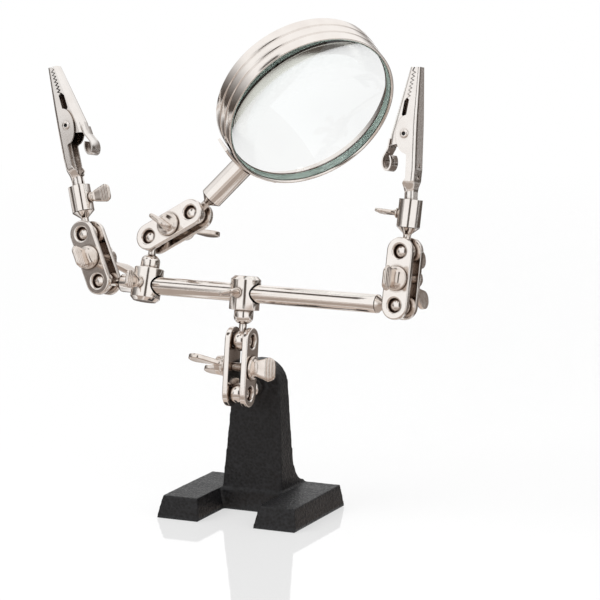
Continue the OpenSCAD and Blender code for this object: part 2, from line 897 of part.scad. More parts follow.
// The saddle: a strip of sheet bent under the ring
module lens_saddle() {
    color(steel)
        at_ring()
            translate([0, 0, saddle_ease])
                rotate([90, 0, 0])
                    rotate([0, 0, -90 - saddle_angle])
                        rotate_extrude(angle = 2 * saddle_angle)
                            translate([saddle_bend_r, -saddle_w / 2])
                                square([saddle_t, saddle_w]);
}

// The ring: a thin band with two grooves round its outside and two lips inside that hold the lens
module lens_ring() {
    color(steel)
        at_ring()
            rotate([90, 0, 0])
                rotate_extrude($fn = 96)
                    difference() {
                        union() {
                            translate([ring_r - ring_t, -ring_w / 2]) square([ring_t, ring_w]);
                            for (side = [-1, 1])
                                translate([lens_r - lip_t, lens_shift + side * lip_at - lip_h / 2])
                                    square([lip_t + ring_t / 2, lip_h]);
                        }
                        for (side = [-1, 1])
                            translate([ring_r, side * groove_at]) groove_outline();
                    }
}

module groove_outline() {
    polygon([
        [past, groove_w / 2], [0, groove_w / 2], [-groove_t, groove_floor_w / 2],
        [-groove_t, -groove_floor_w / 2], [0, -groove_w / 2], [past, -groove_w / 2]
    ]);
}

module lens() {
    color([0.8, 0.92, 0.9, 0.5])
        at_ring()
            rotate([90, 0, 0])
                translate([0, 0, lens_shift])
                    intersection() {
                        between_faces();
                        cylinder(r = lens_r, h = lens_t + past, center = true, $fn = 96);
                    }
}

// The space between the lens's two round faces
module between_faces() {
    intersection() {
        translate([0, 0, lens_t / 2 - lens_ball_r]) sphere(r = lens_ball_r, $fn = 200);
        translate([0, 0, lens_ball_r - lens_t / 2]) sphere(r = lens_ball_r, $fn = 200);
    }
}

// Where the socket screws point, and how far each screw and nut is turned
left_screw_side = 90;
right_screw_side = -90;
screw_turn = 90;
lens_screw_turn = 30;
clamp_screw_turn = 20;
cup_turn = 10;
centre_nut_turn = 20;
left_nut_turn = 60;
right_nut_turn = 79;
lens_nut_turn = -62;

base_casting();
base_ball_stud();
color(steel) at_centre_plates() link_plate(1);  // centre_plate_left
color(steel) at_centre_plates() link_plate(-1);  // centre_plate_right
at_centre_plates() link_screw(screw_turn);  // centre_thumb_screw
at_centre_plates() link_nut(centre_nut_turn);  // centre_wing_nut
at_centre_clamp() clamp_ball_stud();  // centre_clamp_ball_stud
at_centre_clamp() clamp_body();  // centre_clamp_body
at_centre_clamp() clamp_screw(clamp_screw_turn);  // centre_clamp_screw
cross_bar();
bar_ball_stud(-left_reach, 90);  // left_bar_ball_stud
bar_ball_stud(right_reach, -90);  // right_bar_ball_stud
color(steel) at_left_link() link_plate(-1);  // left_plate_front
color(steel) at_left_link() link_plate(1);  // left_plate_rear
at_left_link() link_screw(screw_turn);  // left_thumb_screw
at_left_link() link_nut(left_nut_turn);  // left_wing_nut
at_left_socket() socket_ball_stud();  // left_socket_ball_stud
at_left_socket() socket(left_screw_side);  // left_socket
at_left_socket() socket_screw(left_screw_side, screw_turn);  // left_socket_screw
at_left_clip() clip_fixed_jaw();  // left_clip_fixed_jaw
at_left_clip() clip_moving_jaw();  // left_clip_moving_jaw
at_left_clip() clip_rivet();  // left_clip_rivet
at_left_clip() clip_spring();  // left_clip_spring
color(steel) at_right_link() link_plate(-1);  // right_plate_front
color(steel) at_right_link() link_plate(1);  // right_plate_rear
at_right_link() link_screw(screw_turn);  // right_thumb_screw
at_right_link() link_nut(right_nut_turn);  // right_wing_nut
at_right_socket() socket_ball_stud();  // right_socket_ball_stud
at_right_socket() socket(right_screw_side);  // right_socket
at_right_socket() socket_screw(right_screw_side, cup_turn);  // right_socket_screw
at_right_clip() clip_fixed_jaw();  // right_clip_fixed_jaw
at_right_clip() clip_moving_jaw();  // right_clip_moving_jaw
at_right_clip() clip_rivet();  // right_clip_rivet
at_right_clip() clip_spring();  // right_clip_spring
at_lens_ball() clamp_body();  // lens_clamp_body
at_lens_ball() clamp_screw(screw_turn);  // lens_clamp_screw
at_lens_ball() clamp_ball_stud();  // lens_clamp_ball_stud
color(steel) at_lens_link() link_plate(-1);  // lens_plate_front
color(steel) at_lens_link() link_plate(1);  // lens_plate_rear
at_lens_link() link_screw(lens_screw_turn);  // lens_thumb_screw
at_lens_link() link_nut(lens_nut_turn);  // lens_wing_nut
lens_ball_stud();
lens_stem();
lens_saddle();
lens_ring();
lens();
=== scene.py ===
import json
from math import acos, atan2, ceil, copysign, cos, pi, radians, sin, sqrt, tan

import bmesh
import bpy
from mathutils import Matrix, Vector, noise


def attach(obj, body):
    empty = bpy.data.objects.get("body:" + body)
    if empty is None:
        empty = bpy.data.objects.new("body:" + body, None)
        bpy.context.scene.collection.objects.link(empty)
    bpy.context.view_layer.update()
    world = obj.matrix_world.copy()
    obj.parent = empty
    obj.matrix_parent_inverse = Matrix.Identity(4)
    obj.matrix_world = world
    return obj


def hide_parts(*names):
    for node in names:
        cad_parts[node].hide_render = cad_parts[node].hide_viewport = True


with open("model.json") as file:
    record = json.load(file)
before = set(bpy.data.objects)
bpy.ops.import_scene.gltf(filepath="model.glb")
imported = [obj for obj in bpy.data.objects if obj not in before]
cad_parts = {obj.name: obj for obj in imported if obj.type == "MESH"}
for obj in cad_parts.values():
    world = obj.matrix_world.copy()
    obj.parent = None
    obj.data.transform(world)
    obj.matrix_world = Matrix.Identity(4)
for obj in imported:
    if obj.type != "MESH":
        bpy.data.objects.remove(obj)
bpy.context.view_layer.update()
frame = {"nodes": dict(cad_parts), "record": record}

nodes = frame["nodes"]
scene = bpy.context.scene
MM = 0.001

# Sizes of the solids and of what is added to them here, in millimetres and degrees

# Base: its ball's height, its front face, and the boss and collar that carry the ball stud
BASE_BALL_H = 43.8
FACE_Y = -0.4
FACE_LEAN = 5.7
BASE_BOSS_H = 0.8
BASE_COLLAR_H = 4.6
# Its skin: voxel and rounds of smoothing, height of the plain sole, and the cast sand's
# (frequency, height) and sink
BASE_SKIN = (0.42, 5)
SOLE_H = 0.3
SAND = ((0.75, 0.05), (0.16, 0.09))
SAND_SINK = 0.05

# Ball studs: a shank is (radius, length)
BALL_R = 3.5
NECK_R = 1.35
CONE_H = 2.3
SWING_ROOM = 1.1
FIT = 0.06
FACE_GAP = 0.1
COLLAR_R = 3.35
COLLAR_H = 2.4
BASE_SHANK = (2.0, 6.0)
STUD_SHANK = (1.25, 2.4)
BAR_SHANK_H = 6.0
STEM_SHANK = (1.5, 7.0)
# Roundings: neck, foot of the cone, insets and drop of the points before its wide end, edges of the
# collar and the shank, middle of the collar's edge, and the power of a domed cone
NECK_BEND = 0.3
CONE_FOOT = 0.05
CONE_EDGE = (0.22, 0.05, 0.08)
STUD_EASE = 0.2
COLLAR_SOFT = 0.06
DOME_POWER = 1.3

# Link plates, with the rounding of their edges and of the holes over the balls
LINK_LEN = 18.0
PLATE_W = 9.5
PLATE_T = 2.0
PLATE_GAP = 4.7
PLATE_EDGE = 0.5
PLATE_LIP = 0.65
SEAT_SHARE = 0.9
STACK = PLATE_GAP / 2 + PLATE_T
SEAT_R = BALL_R + FIT
SEAT_MOUTH = sqrt(SEAT_R ** 2 - PLATE_GAP ** 2 / 4)
PLATE_HOLE_R = SEAT_SHARE * SEAT_MOUTH
# Width of the strip that parts the shading of a flat face from its rounded edge
SUPPORT = 0.03

# Bar, with the rounding of its ends and the inset of the rounding's middle, and clamps
BAR_D = 6.35
BAR_EASE = (0.3, 0.09)
LEFT_REACH = 58.0
RIGHT_REACH = 60.0
CLAMP_D = 10.4
CLAMP_H = 11.7
CLAMP_WALL = 0.25
CLAMP_CHAMFER = 1.2
CLAMP_EASE = 0.3
# The set screw presses the bar against the back of a wider bore: radius, shift to the front
CLAMP_BORE = (3.5, -0.2)
# How far a cutting tool reaches past what it cuts
PAST = 1.0

# Thumb screws: a blade is (width, height, thickness), its grooves (depth, pitch, count) and their
# half width in depths; its top is rounded over a height and no thinner than a share squared
LINK_SCREW_D = 3.0
BLADE = (8.4, 8.8, 1.8)
BLADE_LOBE = 0.32
BLADE_FOOT = 0.24
BLADE_GROOVE = (0.25, 1.1, 3)
GROOVE_SPAN = 1.5
BLADE_ROUND = 0.7
BLADE_THIN = 0.04
BLADE_POWER = 3.4
BLADE_HOLLOW = 0.2
BLADE_SLICE = 0.1
FLANGE_D = 8.2
FLANGE_H = 1.1
FLANGE_SOFT = 0.3
SET_SCREW_D = 2.9
SET_BLADE = (6.4, 8.3, 1.5)
SET_FLANGE_D = 3.5
SET_FLANGE_H = 0.8
SCREW_EASE = 0.3
# Thread: pitch, depth, rings to a turn, and the plain lengths at the shank's tip and head
THREAD = (0.5, 0.2, 6)
THREAD_ENDS = (0.35, 0.4)
# Where the flange runs into the blade: height, steps, power, and the foot's share of the flange
# under a narrower and under a wider blade
RUN_H = 1.2
RUN_STEPS = (0.0, 0.12, 0.3, 0.5, 0.75)
RUN_POWER = 2.6
RUN_FOOT = 0.78
RUN_WIDE_FOOT = 0.85

# Wing nuts: the waist is a share of the flange; an ear's lower points are (out from the waist,
# height), its upper one (x, rise), its arc (first and last degree, steps); the skin is (voxel, rounds)
NUT_SPAN = 20.0
NUT_H = 12.0
NUT_FOOT_H = 4.2
NUT_WAIST = 0.4
NUT_RIM_H = 0.9
NUT_WAIST_H = 1.9
NUT_EASE = (0.2, 0.25)
NUT_EAR_R = 3.2
NUT_EAR_T = 1.7
EAR_ROOT_X = 1.75
EAR_LOW = ((0.3, 0.5), (1.0, 2.2))
EAR_TOP = (2.9, 0.9)
EAR_ARC = (-35, 180, 20)
NUT_SKIN = (0.24, 6)

# Sockets
SOCKET_D = 7.9
SOCKET_H = 9.2
SOCKET_BORE_D = 5.8
SOCKET_SCREW_H = 5.0

# Clips: a rivet's head is (radius, height), its bore (radius, depth), its rolled rim (radius, drop)
CLIP_LEN = 43.8
RIVET_H = 21.6
RIVET_X = -1.65
RIVET_D = 2.0
RIVET_HEAD = (1.55, 0.45)
RIVET_BORE = (0.68, 0.4)
RIVET_RIM = ((0.68, 0.08), (0.76, 0.02), (0.88, 0.0), (1.05, 0.03))
RIVET_EASE = (0.15, 0.17, 0.06)
RIVET_PLAY = 0.02
CLIP_W = 7.0
SHEET_T = 0.6
SPINE_X = 2.6
BACK_X = -7.6
MOVING_TIP_X = -1.1
TIP_W = 3.8
TIP_DEPTH = 1.85
TAPER_H = 24.7
TAPER_EASE = 5.0
TAPER_PAST = 1.0
# Radius of the jaws' folds at the tip and at the back, its largest share of the width, and the
# least one inside
FIXED_FOLD = (0.95, 1.5)
MOVING_FOLD = (0.95, 1.9)
FOLD_SHARE = 0.45
FOLD_LEAST = 0.05
# Half the room between the teeth, the room between the walls of the two jaws, and the jaws' steps
JAW_PLAY = 0.25
WALL_PLAY = 0.3
JAW_SLICE = 0.35
TEETH = 7
TOOTH_H = 0.6
TOOTH_TOP = Vector((0.65, 42.6))
TOOTH_ROOT = Vector((-0.9, 33.5))
WINDOW_LEN = 5.6
WIRE_HOLES = (11.1, 7.1)
WIRE_HOLE_R = 0.8
# Tail: radius, wall, reach, the heights between which it is rolled up, and its degrees to either side
TAIL_R = 2.3
TAIL_WALL = 0.5
TAIL_H = 4.9
TAIL_ROLL = (6.2, 2.2)
TAIL_SEAM = 155.0
# Lines of the jaws as (height, x); a window's corners are (drop, shift) from the last tooth, and the
# fixed jaw's lobe is (rise over the rivet, half height, root x, reach)
FIXED_WINDOW = ((0.6, 0.4), (WINDOW_LEN, -0.3))
FIXED_LOBE = (-0.2, 6.5, -0.75, 4.0)
FIXED_FOOT = ((RIVET_H - 7.0, -0.6), (7.0, -0.7), (TAIL_ROLL[0] - 1.0, -1.9), (-TAIL_H, -1.9))
FIXED_SPINE = ((CLIP_LEN, SPINE_X), (10.0, SPINE_X), (1.5, 1.9), (-TAIL_H, 1.9))
MOVING_WINDOW = ((1.0, -1.6), (WINDOW_LEN, -2.3))
MOVING_EDGE = [(25.5, -1.2), (23.5, 0.2), (RIVET_H, 0.6), (20.0, 0.1), (19.0, -1.65), (18.3, -4.0),
               (17.9, -6.4), (17.6, -7.2)]
MOVING_BACK = ((CLIP_LEN, MOVING_TIP_X), (RIVET_H, BACK_X), (17.8, -8.1), (14.0, -8.4))
# Thumb tab: its knee as (x, height), its loop's centre and half axes, the loop's degrees as (start,
# stop, step), its rounding and taper, and the corner of its section as shares
TAB_KNEE = ((-7.45, 20.0), (-7.95, 17.0))
TAB_LOOP = (-8.45, 12.3, 1.55, 2.75)
TAB_TURN = (130, 411, 10)
TAB_BEND = 0.6
TAB_TAPER = 0.12
TAB_CORNER = (0.94, 0.8)
SPRING_WIRE = 0.6
SPRING_TURNS = 3
SPRING_START = 20.0
# Room round the rivet, between the turns and at the jaws
SPRING_ROOM = (0.25, 0.45, 0.06)
# How much thicker the slanted back is along x
BACK_SLANT = 1.05

# Magnifier
LENS_CLAMP_REACH = 40.0
RING_D = 61.2
RING_W = 12.0
RING_T = 0.9
RING_EASE = 0.3
GROOVE_T = 0.35
GROOVE_W = 1.2
GROOVE_FLOOR_W = 0.5
GROOVE_AT = RING_W / 6
LIP_H = 0.6
LIP_T = 0.7
LENS_T = 8.4
LENS_EDGE = 4.4
LENS_SHIFT = 1.4
LENS_CHAMFER = 0.25
RIM_T = 0.5
RIM_H = 0.5
# The lens's faces along the ring's axis: height of the edge, bulge, power of the curve
LENS_FRONT = (5.35, 0.55, 2)
LENS_BACK = (-0.6, 5.0, 2.3)
STEM_D = 8.0
STEM_H = 15.7
SADDLE_T = 1.0
# Easing of the edges of the solids that keep the CAD shape
EASED = {"left_socket": 0.25, "right_socket": 0.25, "lens_stem": 0.25, "lens_saddle": 0.2}

# Sizes that follow from these
NECK_REACH = PLATE_W / 2 + SWING_ROOM
STUD_SEAT = NECK_REACH + CONE_H
CLAMP_SEAT = STUD_SEAT + COLLAR_H
CLAMP_REACH = CLAMP_SEAT + CLAMP_H / 2
CLAMP_SHANK_H = CLAMP_H / 2 - BAR_D / 2 - FIT - CLAMP_WALL - FACE_GAP
SOCKET_SEAT = STUD_SEAT + FACE_GAP
SOCKET_TOP = SOCKET_SEAT + SOCKET_H
BASE_FACE = FACE_Y + BASE_BALL_H * tan(radians(FACE_LEAN)) - BASE_BOSS_H
BASE_BALL_Y = BASE_FACE - STUD_SEAT - BASE_COLLAR_H
RING_R = RING_D / 2
LENS_R = RING_R - RING_T - FACE_GAP / 2
LENS_SAG = (LENS_T - LENS_EDGE) / 2
LENS_BALL_R = (LENS_R ** 2 + LENS_SAG ** 2) / (2 * LENS_SAG)
LIP_SEAT = LENS_T / 2 - LENS_BALL_R + sqrt(LENS_BALL_R ** 2 - (LENS_R - LIP_T) ** 2)
LIP_AT = LIP_SEAT + FACE_GAP / 2 + LIP_H / 2
SADDLE_R = RING_R + FACE_GAP / 2
RING_REACH = SOCKET_SEAT + STEM_H + SADDLE_T + SADDLE_R

# Angles of the pose, in degrees: an arm is (tilt, lean of its link, lean of what its link carries)

LINK_LEAN = 7.5
CLAMP_LEAN = 10.0
CLAMP_YAW = -6.0
LEFT_ARM = (10.0, -27.0, -17.5)
RIGHT_ARM = (10.0, 2.0, 2.5)
RIGHT_CLIP_TILT = -5.0
LENS_ARM = (19.0, 58.0, 41.5)
RING_TURN = 74.5


# Places of the pieces

def move(x, y, z):
    return Matrix.Translation((x, y, z))


def turn(axis, degrees):
    return Matrix.Rotation(radians(degrees), 4, axis)


def arm(reach, tilt, lean):
    return BAR @ move(reach, 0, 0) @ turn("X", CLAMP_LEAN - tilt) @ turn("Y", lean)


def out_front(distance):
    return move(0, -distance, 0) @ turn("X", 90)


def out_rear(distance):
    return move(0, distance, 0) @ turn("X", -90)


LINK_TOP = move(0, 0, LINK_LEN)
HALF_WAY = move(0, 0, LINK_LEN / 2)
BASE_BALL = move(0, BASE_BALL_Y, BASE_BALL_H)
CENTRE_LINK = BASE_BALL @ turn("X", -LINK_LEAN)
CENTRE_PLATES = CENTRE_LINK @ turn("Z", 90)
CENTRE_CLAMP = CENTRE_LINK @ LINK_TOP @ turn("X", LINK_LEAN - CLAMP_LEAN) @ turn("Z", CLAMP_YAW)
BAR = CENTRE_CLAMP @ move(0, 0, CLAMP_REACH)
LEFT_LINK = arm(-LEFT_REACH, *LEFT_ARM[:2])
RIGHT_LINK = arm(RIGHT_REACH, *RIGHT_ARM[:2])
LEFT_SOCKET = LEFT_LINK @ LINK_TOP @ turn("Y", LEFT_ARM[2] - LEFT_ARM[1])
RIGHT_SOCKET = RIGHT_LINK @ LINK_TOP @ turn("Y", RIGHT_ARM[2] - RIGHT_ARM[1])
LEFT_CLIP = LEFT_SOCKET @ move(0, 0, SOCKET_TOP) @ Matrix.Scale(-1, 4, (1, 0, 0))
RIGHT_CLIP = RIGHT_SOCKET @ move(0, 0, SOCKET_TOP) @ turn("Y", RIGHT_CLIP_TILT)
LENS_CLAMP = arm(-LENS_CLAMP_REACH, LENS_ARM[0], 0)
LENS_BALL = LENS_CLAMP @ move(0, 0, CLAMP_REACH) @ turn("Y", 180)
LENS_LINK = LENS_CLAMP @ move(0, 0, CLAMP_REACH) @ turn("Y", LENS_ARM[1])
STEM = LENS_LINK @ LINK_TOP @ turn("Y", LENS_ARM[2] - LENS_ARM[1]) @ turn("Z", RING_TURN)
RING = STEM @ move(0, 0, RING_REACH)


# Materials

WHITE = (1.0, 1.0, 1.0)
# Painted shade: brown, laid into gaps, holes and corners
GAP_SHADE = (0.2, 0.135, 0.095)
# Painted shade: greyer brown, laid into tight creases and along contact lines
CREASE_SHADE = (0.36, 0.29, 0.24)


def feed(node, values):
    """Gives each value to the input or setting of its name; a value that is a socket is linked."""
    for key, value in values.items():
        if isinstance(value, bpy.types.NodeSocket):
            node.id_data.links.new(value, node.inputs[key])
        elif key in node.inputs:
            node.inputs[key].default_value = value
        else:
            setattr(node, key, value)
    return node


def add(tree, kind, **values):
    """A new shader node of a kind, in a tree or in the tree of a socket."""
    return feed(tree.id_data.nodes.new("ShaderNode" + kind), values)


def new_material(name):
    material = bpy.data.materials.new(name)
    material.use_nodes = True
    tree = material.node_tree
    return material, tree, tree.nodes["Principled BSDF"]


def mapped(tree, scale=(1, 1, 1)):
    """Object coordinates stretched by a scale along each axis."""
    coords = add(tree, "TexCoord").outputs["Object"]
    return add(tree, "Mapping", Scale=scale, Vector=coords).outputs["Vector"]


def grain(vector, **values):
    return add(vector, "TexNoise", Vector=vector, **values).outputs["Fac"]


def ramp(source, stops):
    made = add(source, "ValToRGB", Fac=source)
    points = made.color_ramp.elements
    while len(points) < len(stops):
        points.new(0.5)
    for point, (place, colour) in zip(points, stops):
        point.position = place
        point.color = (*colour, 1.0)
    return made.outputs["Color"]


def spread(source, low, high, start=0.25, end=0.75):
    """Maps a stretch of a value to a range."""
    ends = {"From Min": start, "From Max": end, "To Min": low, "To Max": high}
    return add(source, "MapRange", Value=source, **ends).outputs["Result"]


def reckoned(operation, first, second):
    """The sum, the product or another result of two values."""
    return feed(add(first, "Math", operation=operation), {0: first, 1: second}).outputs["Value"]


def multiplied(first, second, share=1.0):
    """A colour darkened by a share of another."""
    values = {"data_type": "RGBA", "blend_type": "MULTIPLY", "Factor": share, "A": first, "B": second}
    return add(first, "Mix", **values).outputs["Result"]


def openness(tree, distance):
    """How free a spot is of other surfaces within a distance in metres."""
    return add(tree, "AmbientOcclusion", samples=6, Distance=distance).outputs["AO"]


def bump(height, **values):
    return add(height, "Bump", Height=height, **values).outputs["Normal"]


def nickel_material(name, light, dark, rough, stretch):
    """Bright plate over steel: faint stains, hairlines, a soft orange peel, and painted brown shade in
    corners, gaps and creases.
    """
    material, tree, shader = new_material(name)
    plain = mapped(tree)
    stain = grain(plain, Scale=140.0, Detail=5.0, Roughness=0.6)
    hair = grain(mapped(tree, stretch), Scale=900.0, Detail=3.0, Roughness=0.7)
    peel = grain(plain, Scale=2600.0, Detail=2.0, Roughness=0.5)
    colour = ramp(stain, [(0.3, dark), (0.62, light)])
    # Painted shade: the colour turns darker and browner where other surfaces lie within 12 mm
    gap_shade = ramp(openness(tree, 0.012), [(0.15, GAP_SHADE), (0.6, WHITE)])
    # Painted shade: the colour darkens within 1 mm of another surface, in creases and along contact lines
    crease_shade = ramp(openness(tree, 0.001), [(0.45, CREASE_SHADE), (0.93, WHITE)])
    shaded_colour = multiplied(multiplied(colour, gap_shade, share=0.8), crease_shade)
    uneven = reckoned("ADD", spread(stain, *rough), spread(hair, low=-0.03, high=0.05))
    peeled = bump(peel, Distance=0.00004, Strength=0.10)
    brushed = bump(hair, Distance=0.00003, Strength=0.14, Normal=peeled)
    feed(shader, {"Metallic": 1.0, "Base Color": shaded_colour, "Roughness": uneven, "Normal": brushed})
    return material


def cast_material():
    """Black textured paint on a sand casting."""
    material, tree, shader = new_material("cast_black")
    plain = mapped(tree)
    speck = grain(plain, Scale=1500.0, Detail=3.0, Roughness=0.6)
    cloud = grain(plain, Scale=60.0, Detail=4.0, Roughness=0.55)
    cells = add(tree, "TexVoronoi", Vector=plain, Scale=900.0).outputs["Distance"]
    lump = add(tree, "Mix", data_type="FLOAT", Factor=0.4, A=speck, B=cells).outputs["Result"]
    base = ramp(lump, [(0.36, (0.0008, 0.0008, 0.001)), (0.62, (0.013, 0.013, 0.0148))])
    shade = ramp(cloud, [(0.3, (0.72, 0.72, 0.74)), (0.7, WHITE)])
    feed(shader, {
        "Base Color": multiplied(base, shade),
        "Roughness": spread(speck, low=0.28, high=0.66),
        "Specular IOR Level": 0.42,
        "Normal": bump(lump, Distance=0.0005, Strength=0.7)})
    return material


def glass_material():
    """Clear glass, a little green through its edge, with faint wiping marks."""
    material, tree, shader = new_material("lens_glass")
    smear = grain(mapped(tree, (1.0, 5.0, 1.0)), Scale=60.0, Detail=5.0, Roughness=0.6)
    feed(shader, {
        "Base Color": (*WHITE, 1.0),
        "Transmission Weight": 1.0,
        "IOR": 1.6,
        "Roughness": spread(smear, low=0.0, high=0.02)})
    absorb = add(tree, "VolumeAbsorption", Color=(0.36, 0.71, 0.63, 1.0), Density=3.5)
    feed(tree.nodes["Material Output"], {"Volume": absorb.outputs["Volume"]})
    return material


def ground_material():
    """The lens's ground edge: green, cloudy glass."""
    material, tree, shader = new_material("lens_ground_edge")
    plain = mapped(tree)
    frost = grain(plain, Scale=700.0, Detail=4.0, Roughness=0.6)
    cloud = grain(plain, Scale=70.0, Detail=3.0, Roughness=0.6)
    colour = ramp(frost, [(0.3, (0.60, 0.76, 0.68)), (0.7, (0.74, 0.88, 0.81))])
    patch = ramp(cloud, [(0.36, (0.55, 0.60, 0.60)), (0.5, (0.9, 0.9, 0.9)), (0.64, WHITE)])
    feed(shader, {
        "Base Color": multiplied(colour, patch),
        "Roughness": spread(frost, low=0.45, high=0.65)})
    return material


# Plated finishes: name, light and dark colour, range of roughness, stretch of the hairlines
PLATED = (
    ("nickel_plate", (0.93, 0.88, 0.835), (0.87, 0.81, 0.765), (0.07, 0.13), (1, 1, 14)),
    ("plated_sheet", (0.92, 0.88, 0.845), (0.85, 0.80, 0.76), (0.12, 0.2), (14, 1, 1)),
    ("worn_plate", (0.88, 0.81, 0.755), (0.68, 0.6, 0.535), (0.06, 0.13), (1, 1, 5)),
    ("spring_wire", (0.62, 0.58, 0.55), (0.46, 0.43, 0.40), (0.2, 0.3), (1, 1, 1)),
)
FINISH = {look[0]: nickel_material(*look) for look in PLATED}
FINISH["cast_black"] = cast_material()
FINISH["lens_glass"] = glass_material()
GROUND = ground_material()
SLOT_OF = {s["node"]: s["material_slot"] for s in frame["record"]["subparts"]}
BODY_OF = {n: b for b, ns in frame["record"]["behaviour"]["bodies"].items() for n in ns}


# Mesh helpers, all in millimetres

# The share of a side that the rounding of a corner may take, and the angle that needs none
CORNER_SHARE = 0.48
STRAIGHT = 172


def fillet(points, radius, steps=4, closed=True):
    """Rounds the corners of a line in the plane."""
    out = []
    count = len(points)
    for i, here in enumerate(points):
        p = Vector(here)
        if not closed and i in (0, count - 1):
            out.append(p)
            continue
        u = Vector(points[i - 1]) - p
        v = Vector(points[(i + 1) % count]) - p
        reach = CORNER_SHARE * min(u.length, v.length)
        u.normalize()
        v.normalize()
        angle = u.angle(v)
        if angle > radians(STRAIGHT):
            out.append(p)
            continue
        back = min(radius / tan(angle / 2), reach)
        r = back * tan(angle / 2)
        centre = p + (u + v).normalized() * (r / sin(angle / 2))
        start = p + u * back - centre
        end = p + v * back - centre
        sweep = atan2(start.x * end.y - start.y * end.x, start.dot(end))
        for k in range(steps + 1):
            a = sweep * k / steps
            c, s = cos(a), sin(a)
            out.append(centre + Vector((c * start.x - s * start.y, s * start.x + c * start.y)))
    return out


def loft(bm, rings, closed=False):
    """Skins rings of equal count; a ring of one point is a pole."""
    made = [[bm.verts.new(p) for p in ring] for ring in rings]
    pairs = list(zip(made, made[1:]))
    if closed:
        pairs.append((made[-1], made[0]))
    for low, high in pairs:
        count = max(len(low), len(high))
        for k in range(count):
            m = (k + 1) % count
            if len(low) == 1:
                bm.faces.new((low[0], high[m], high[k]))
            elif len(high) == 1:
                bm.faces.new((low[k], low[m], high[0]))
            else:
                bm.faces.new((low[k], low[m], high[m], high[k]))
    return made


def solid(bm, rings):
    """Skins rings and closes both ends with a face."""
    made = loft(bm, rings)
    for ring in (made[0], made[-1]):
        bm.faces.new(ring)


def eased(share):
    """A share from 0 to 1 with a soft start and stop."""
    return share * share * (3 - 2 * share)


def circle(steps):
    """Angles all the way round."""
    return [2 * pi * k / steps for k in range(steps)]


def oval(a, b, power, z, steps):
    """A ring at a height, between an ellipse (power 2) and a rounded rectangle."""
    ring = []
    for angle in circle(steps):
        c, s = cos(angle), sin(angle)
        x = a * copysign(abs(c) ** (2 / power), c)
        y = b * copysign(abs(s) ** (2 / power), s)
        ring.append(Vector((x, y, z)))
    return ring


def lathe(bm, profile, steps=64, closed=False):
    """Turns a profile of (radius, height) about Z."""
    rings = []
    for r, z in profile:
        if r < 1e-6:
            rings.append([Vector((0, 0, z))])
        else:
            rings.append(oval(r, r, 2, z, steps))
    loft(bm, rings, closed)


def placed(name, data):
    """A new object in the scene."""
    made = bpy.data.objects.new(name, data)
    scene.collection.objects.link(made)
    return made


def finish_piece(bm, node, place, sharp=40.0, material=None, name=None):
    """Makes a piece from a mesh in millimetres, on the body of the node that it stands for."""
    name = name or node + "_skin"
    bmesh.ops.remove_doubles(bm, verts=bm.verts, dist=1e-5)
    bmesh.ops.recalc_face_normals(bm, faces=bm.faces)
    mesh = bpy.data.meshes.new(name)
    bm.to_mesh(mesh)
    bm.free()
    mesh.transform(Matrix.Scale(MM, 4) @ place)
    if place.determinant() < 0:
        mesh.flip_normals()
    mesh.shade_smooth()
    mesh.set_sharp_from_angle(angle=radians(sharp))
    piece = placed(name, mesh)
    mesh.materials.append(material or FINISH[SLOT_OF[node]])
    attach(piece, BODY_OF[node])
    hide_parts(node)
    return piece


def taken(bm):
    """A passing object that takes over a mesh."""
    mesh = bpy.data.meshes.new("passing")
    bm.to_mesh(mesh)
    bm.free()
    return placed("passing", mesh)


def applied(work, *others):
    """The mesh of a passing object with its modifiers applied; the object and its helpers then go."""
    graph = bpy.context.evaluated_depsgraph_get()
    out = bmesh.new()
    out.from_mesh(work.evaluated_get(graph).to_mesh())
    for passing in (work, *others):
        mesh = passing.data
        bpy.data.objects.remove(passing)
        bpy.data.meshes.remove(mesh)
    return out


def fused(bm, voxel, rounds):
    """One skin round overlapping shells, with its corners softened."""
    work = taken(bm)
    remesh = work.modifiers.new("remesh", "REMESH")
    remesh.mode = "VOXEL"
    remesh.voxel_size = voxel
    smooth = work.modifiers.new("smooth", "SMOOTH")
    smooth.factor = 0.5
    smooth.iterations = rounds
    return applied(work)


def carved(bm, tool):
    """A closed mesh with the room of another taken out of it."""
    work, room = taken(bm), taken(tool)
    cut = work.modifiers.new("cut", "BOOLEAN")
    cut.object = room
    cut.solver = "EXACT"
    return applied(work, room)


# Base

def base_piece():
    bm = bmesh.new()
    bm.from_mesh(nodes["base_casting"].data)
    bmesh.ops.scale(bm, vec=(1 / MM,) * 3, verts=bm.verts)
    skin = fused(bm, *BASE_SKIN)
    skin.normal_update()
    for v in skin.verts:
        if v.co.z < SOLE_H:
            v.co.z = max(v.co.z, 0.0)
            continue
        rough = sum(noise.noise(v.co * often) * high for often, high in SAND)
        v.co += v.normal * (rough - SAND_SINK)
    finish_piece(skin, "base_casting", Matrix.Identity(4), sharp=60, name="base_skin")


base_piece()


# Link plates

def fill(bm, rings):
    """Closes the flat face between rings of points."""
    edges = [bm.edges.get(pair) for ring in rings for pair in zip(ring, ring[1:] + ring[:1])]
    bmesh.ops.triangle_fill(bm, use_beauty=True, use_dissolve=False, edges=edges)


def stadium(inset, y, steps=28):
    r = PLATE_W / 2 - inset
    ring = []
    for foot in (LINK_LEN, 0.0):
        for k in range(steps + 1):
            a = pi * k / steps + (0 if foot else pi)
            ring.append(Vector((r * cos(a), y, foot + r * sin(a))))
    return ring


def round_hole(r, y, z, steps=48):
    return [Vector((r * cos(a), y, z + r * sin(a))) for a in circle(steps)]


def quarter(radius, steps=5):
    """Points of a rounded edge: inwards from the side, down from the face."""
    turns = [pi / 2 * k / steps for k in range(steps + 1)]
    return [(radius * (1 - sin(a)), radius * (1 - cos(a))) for a in turns]


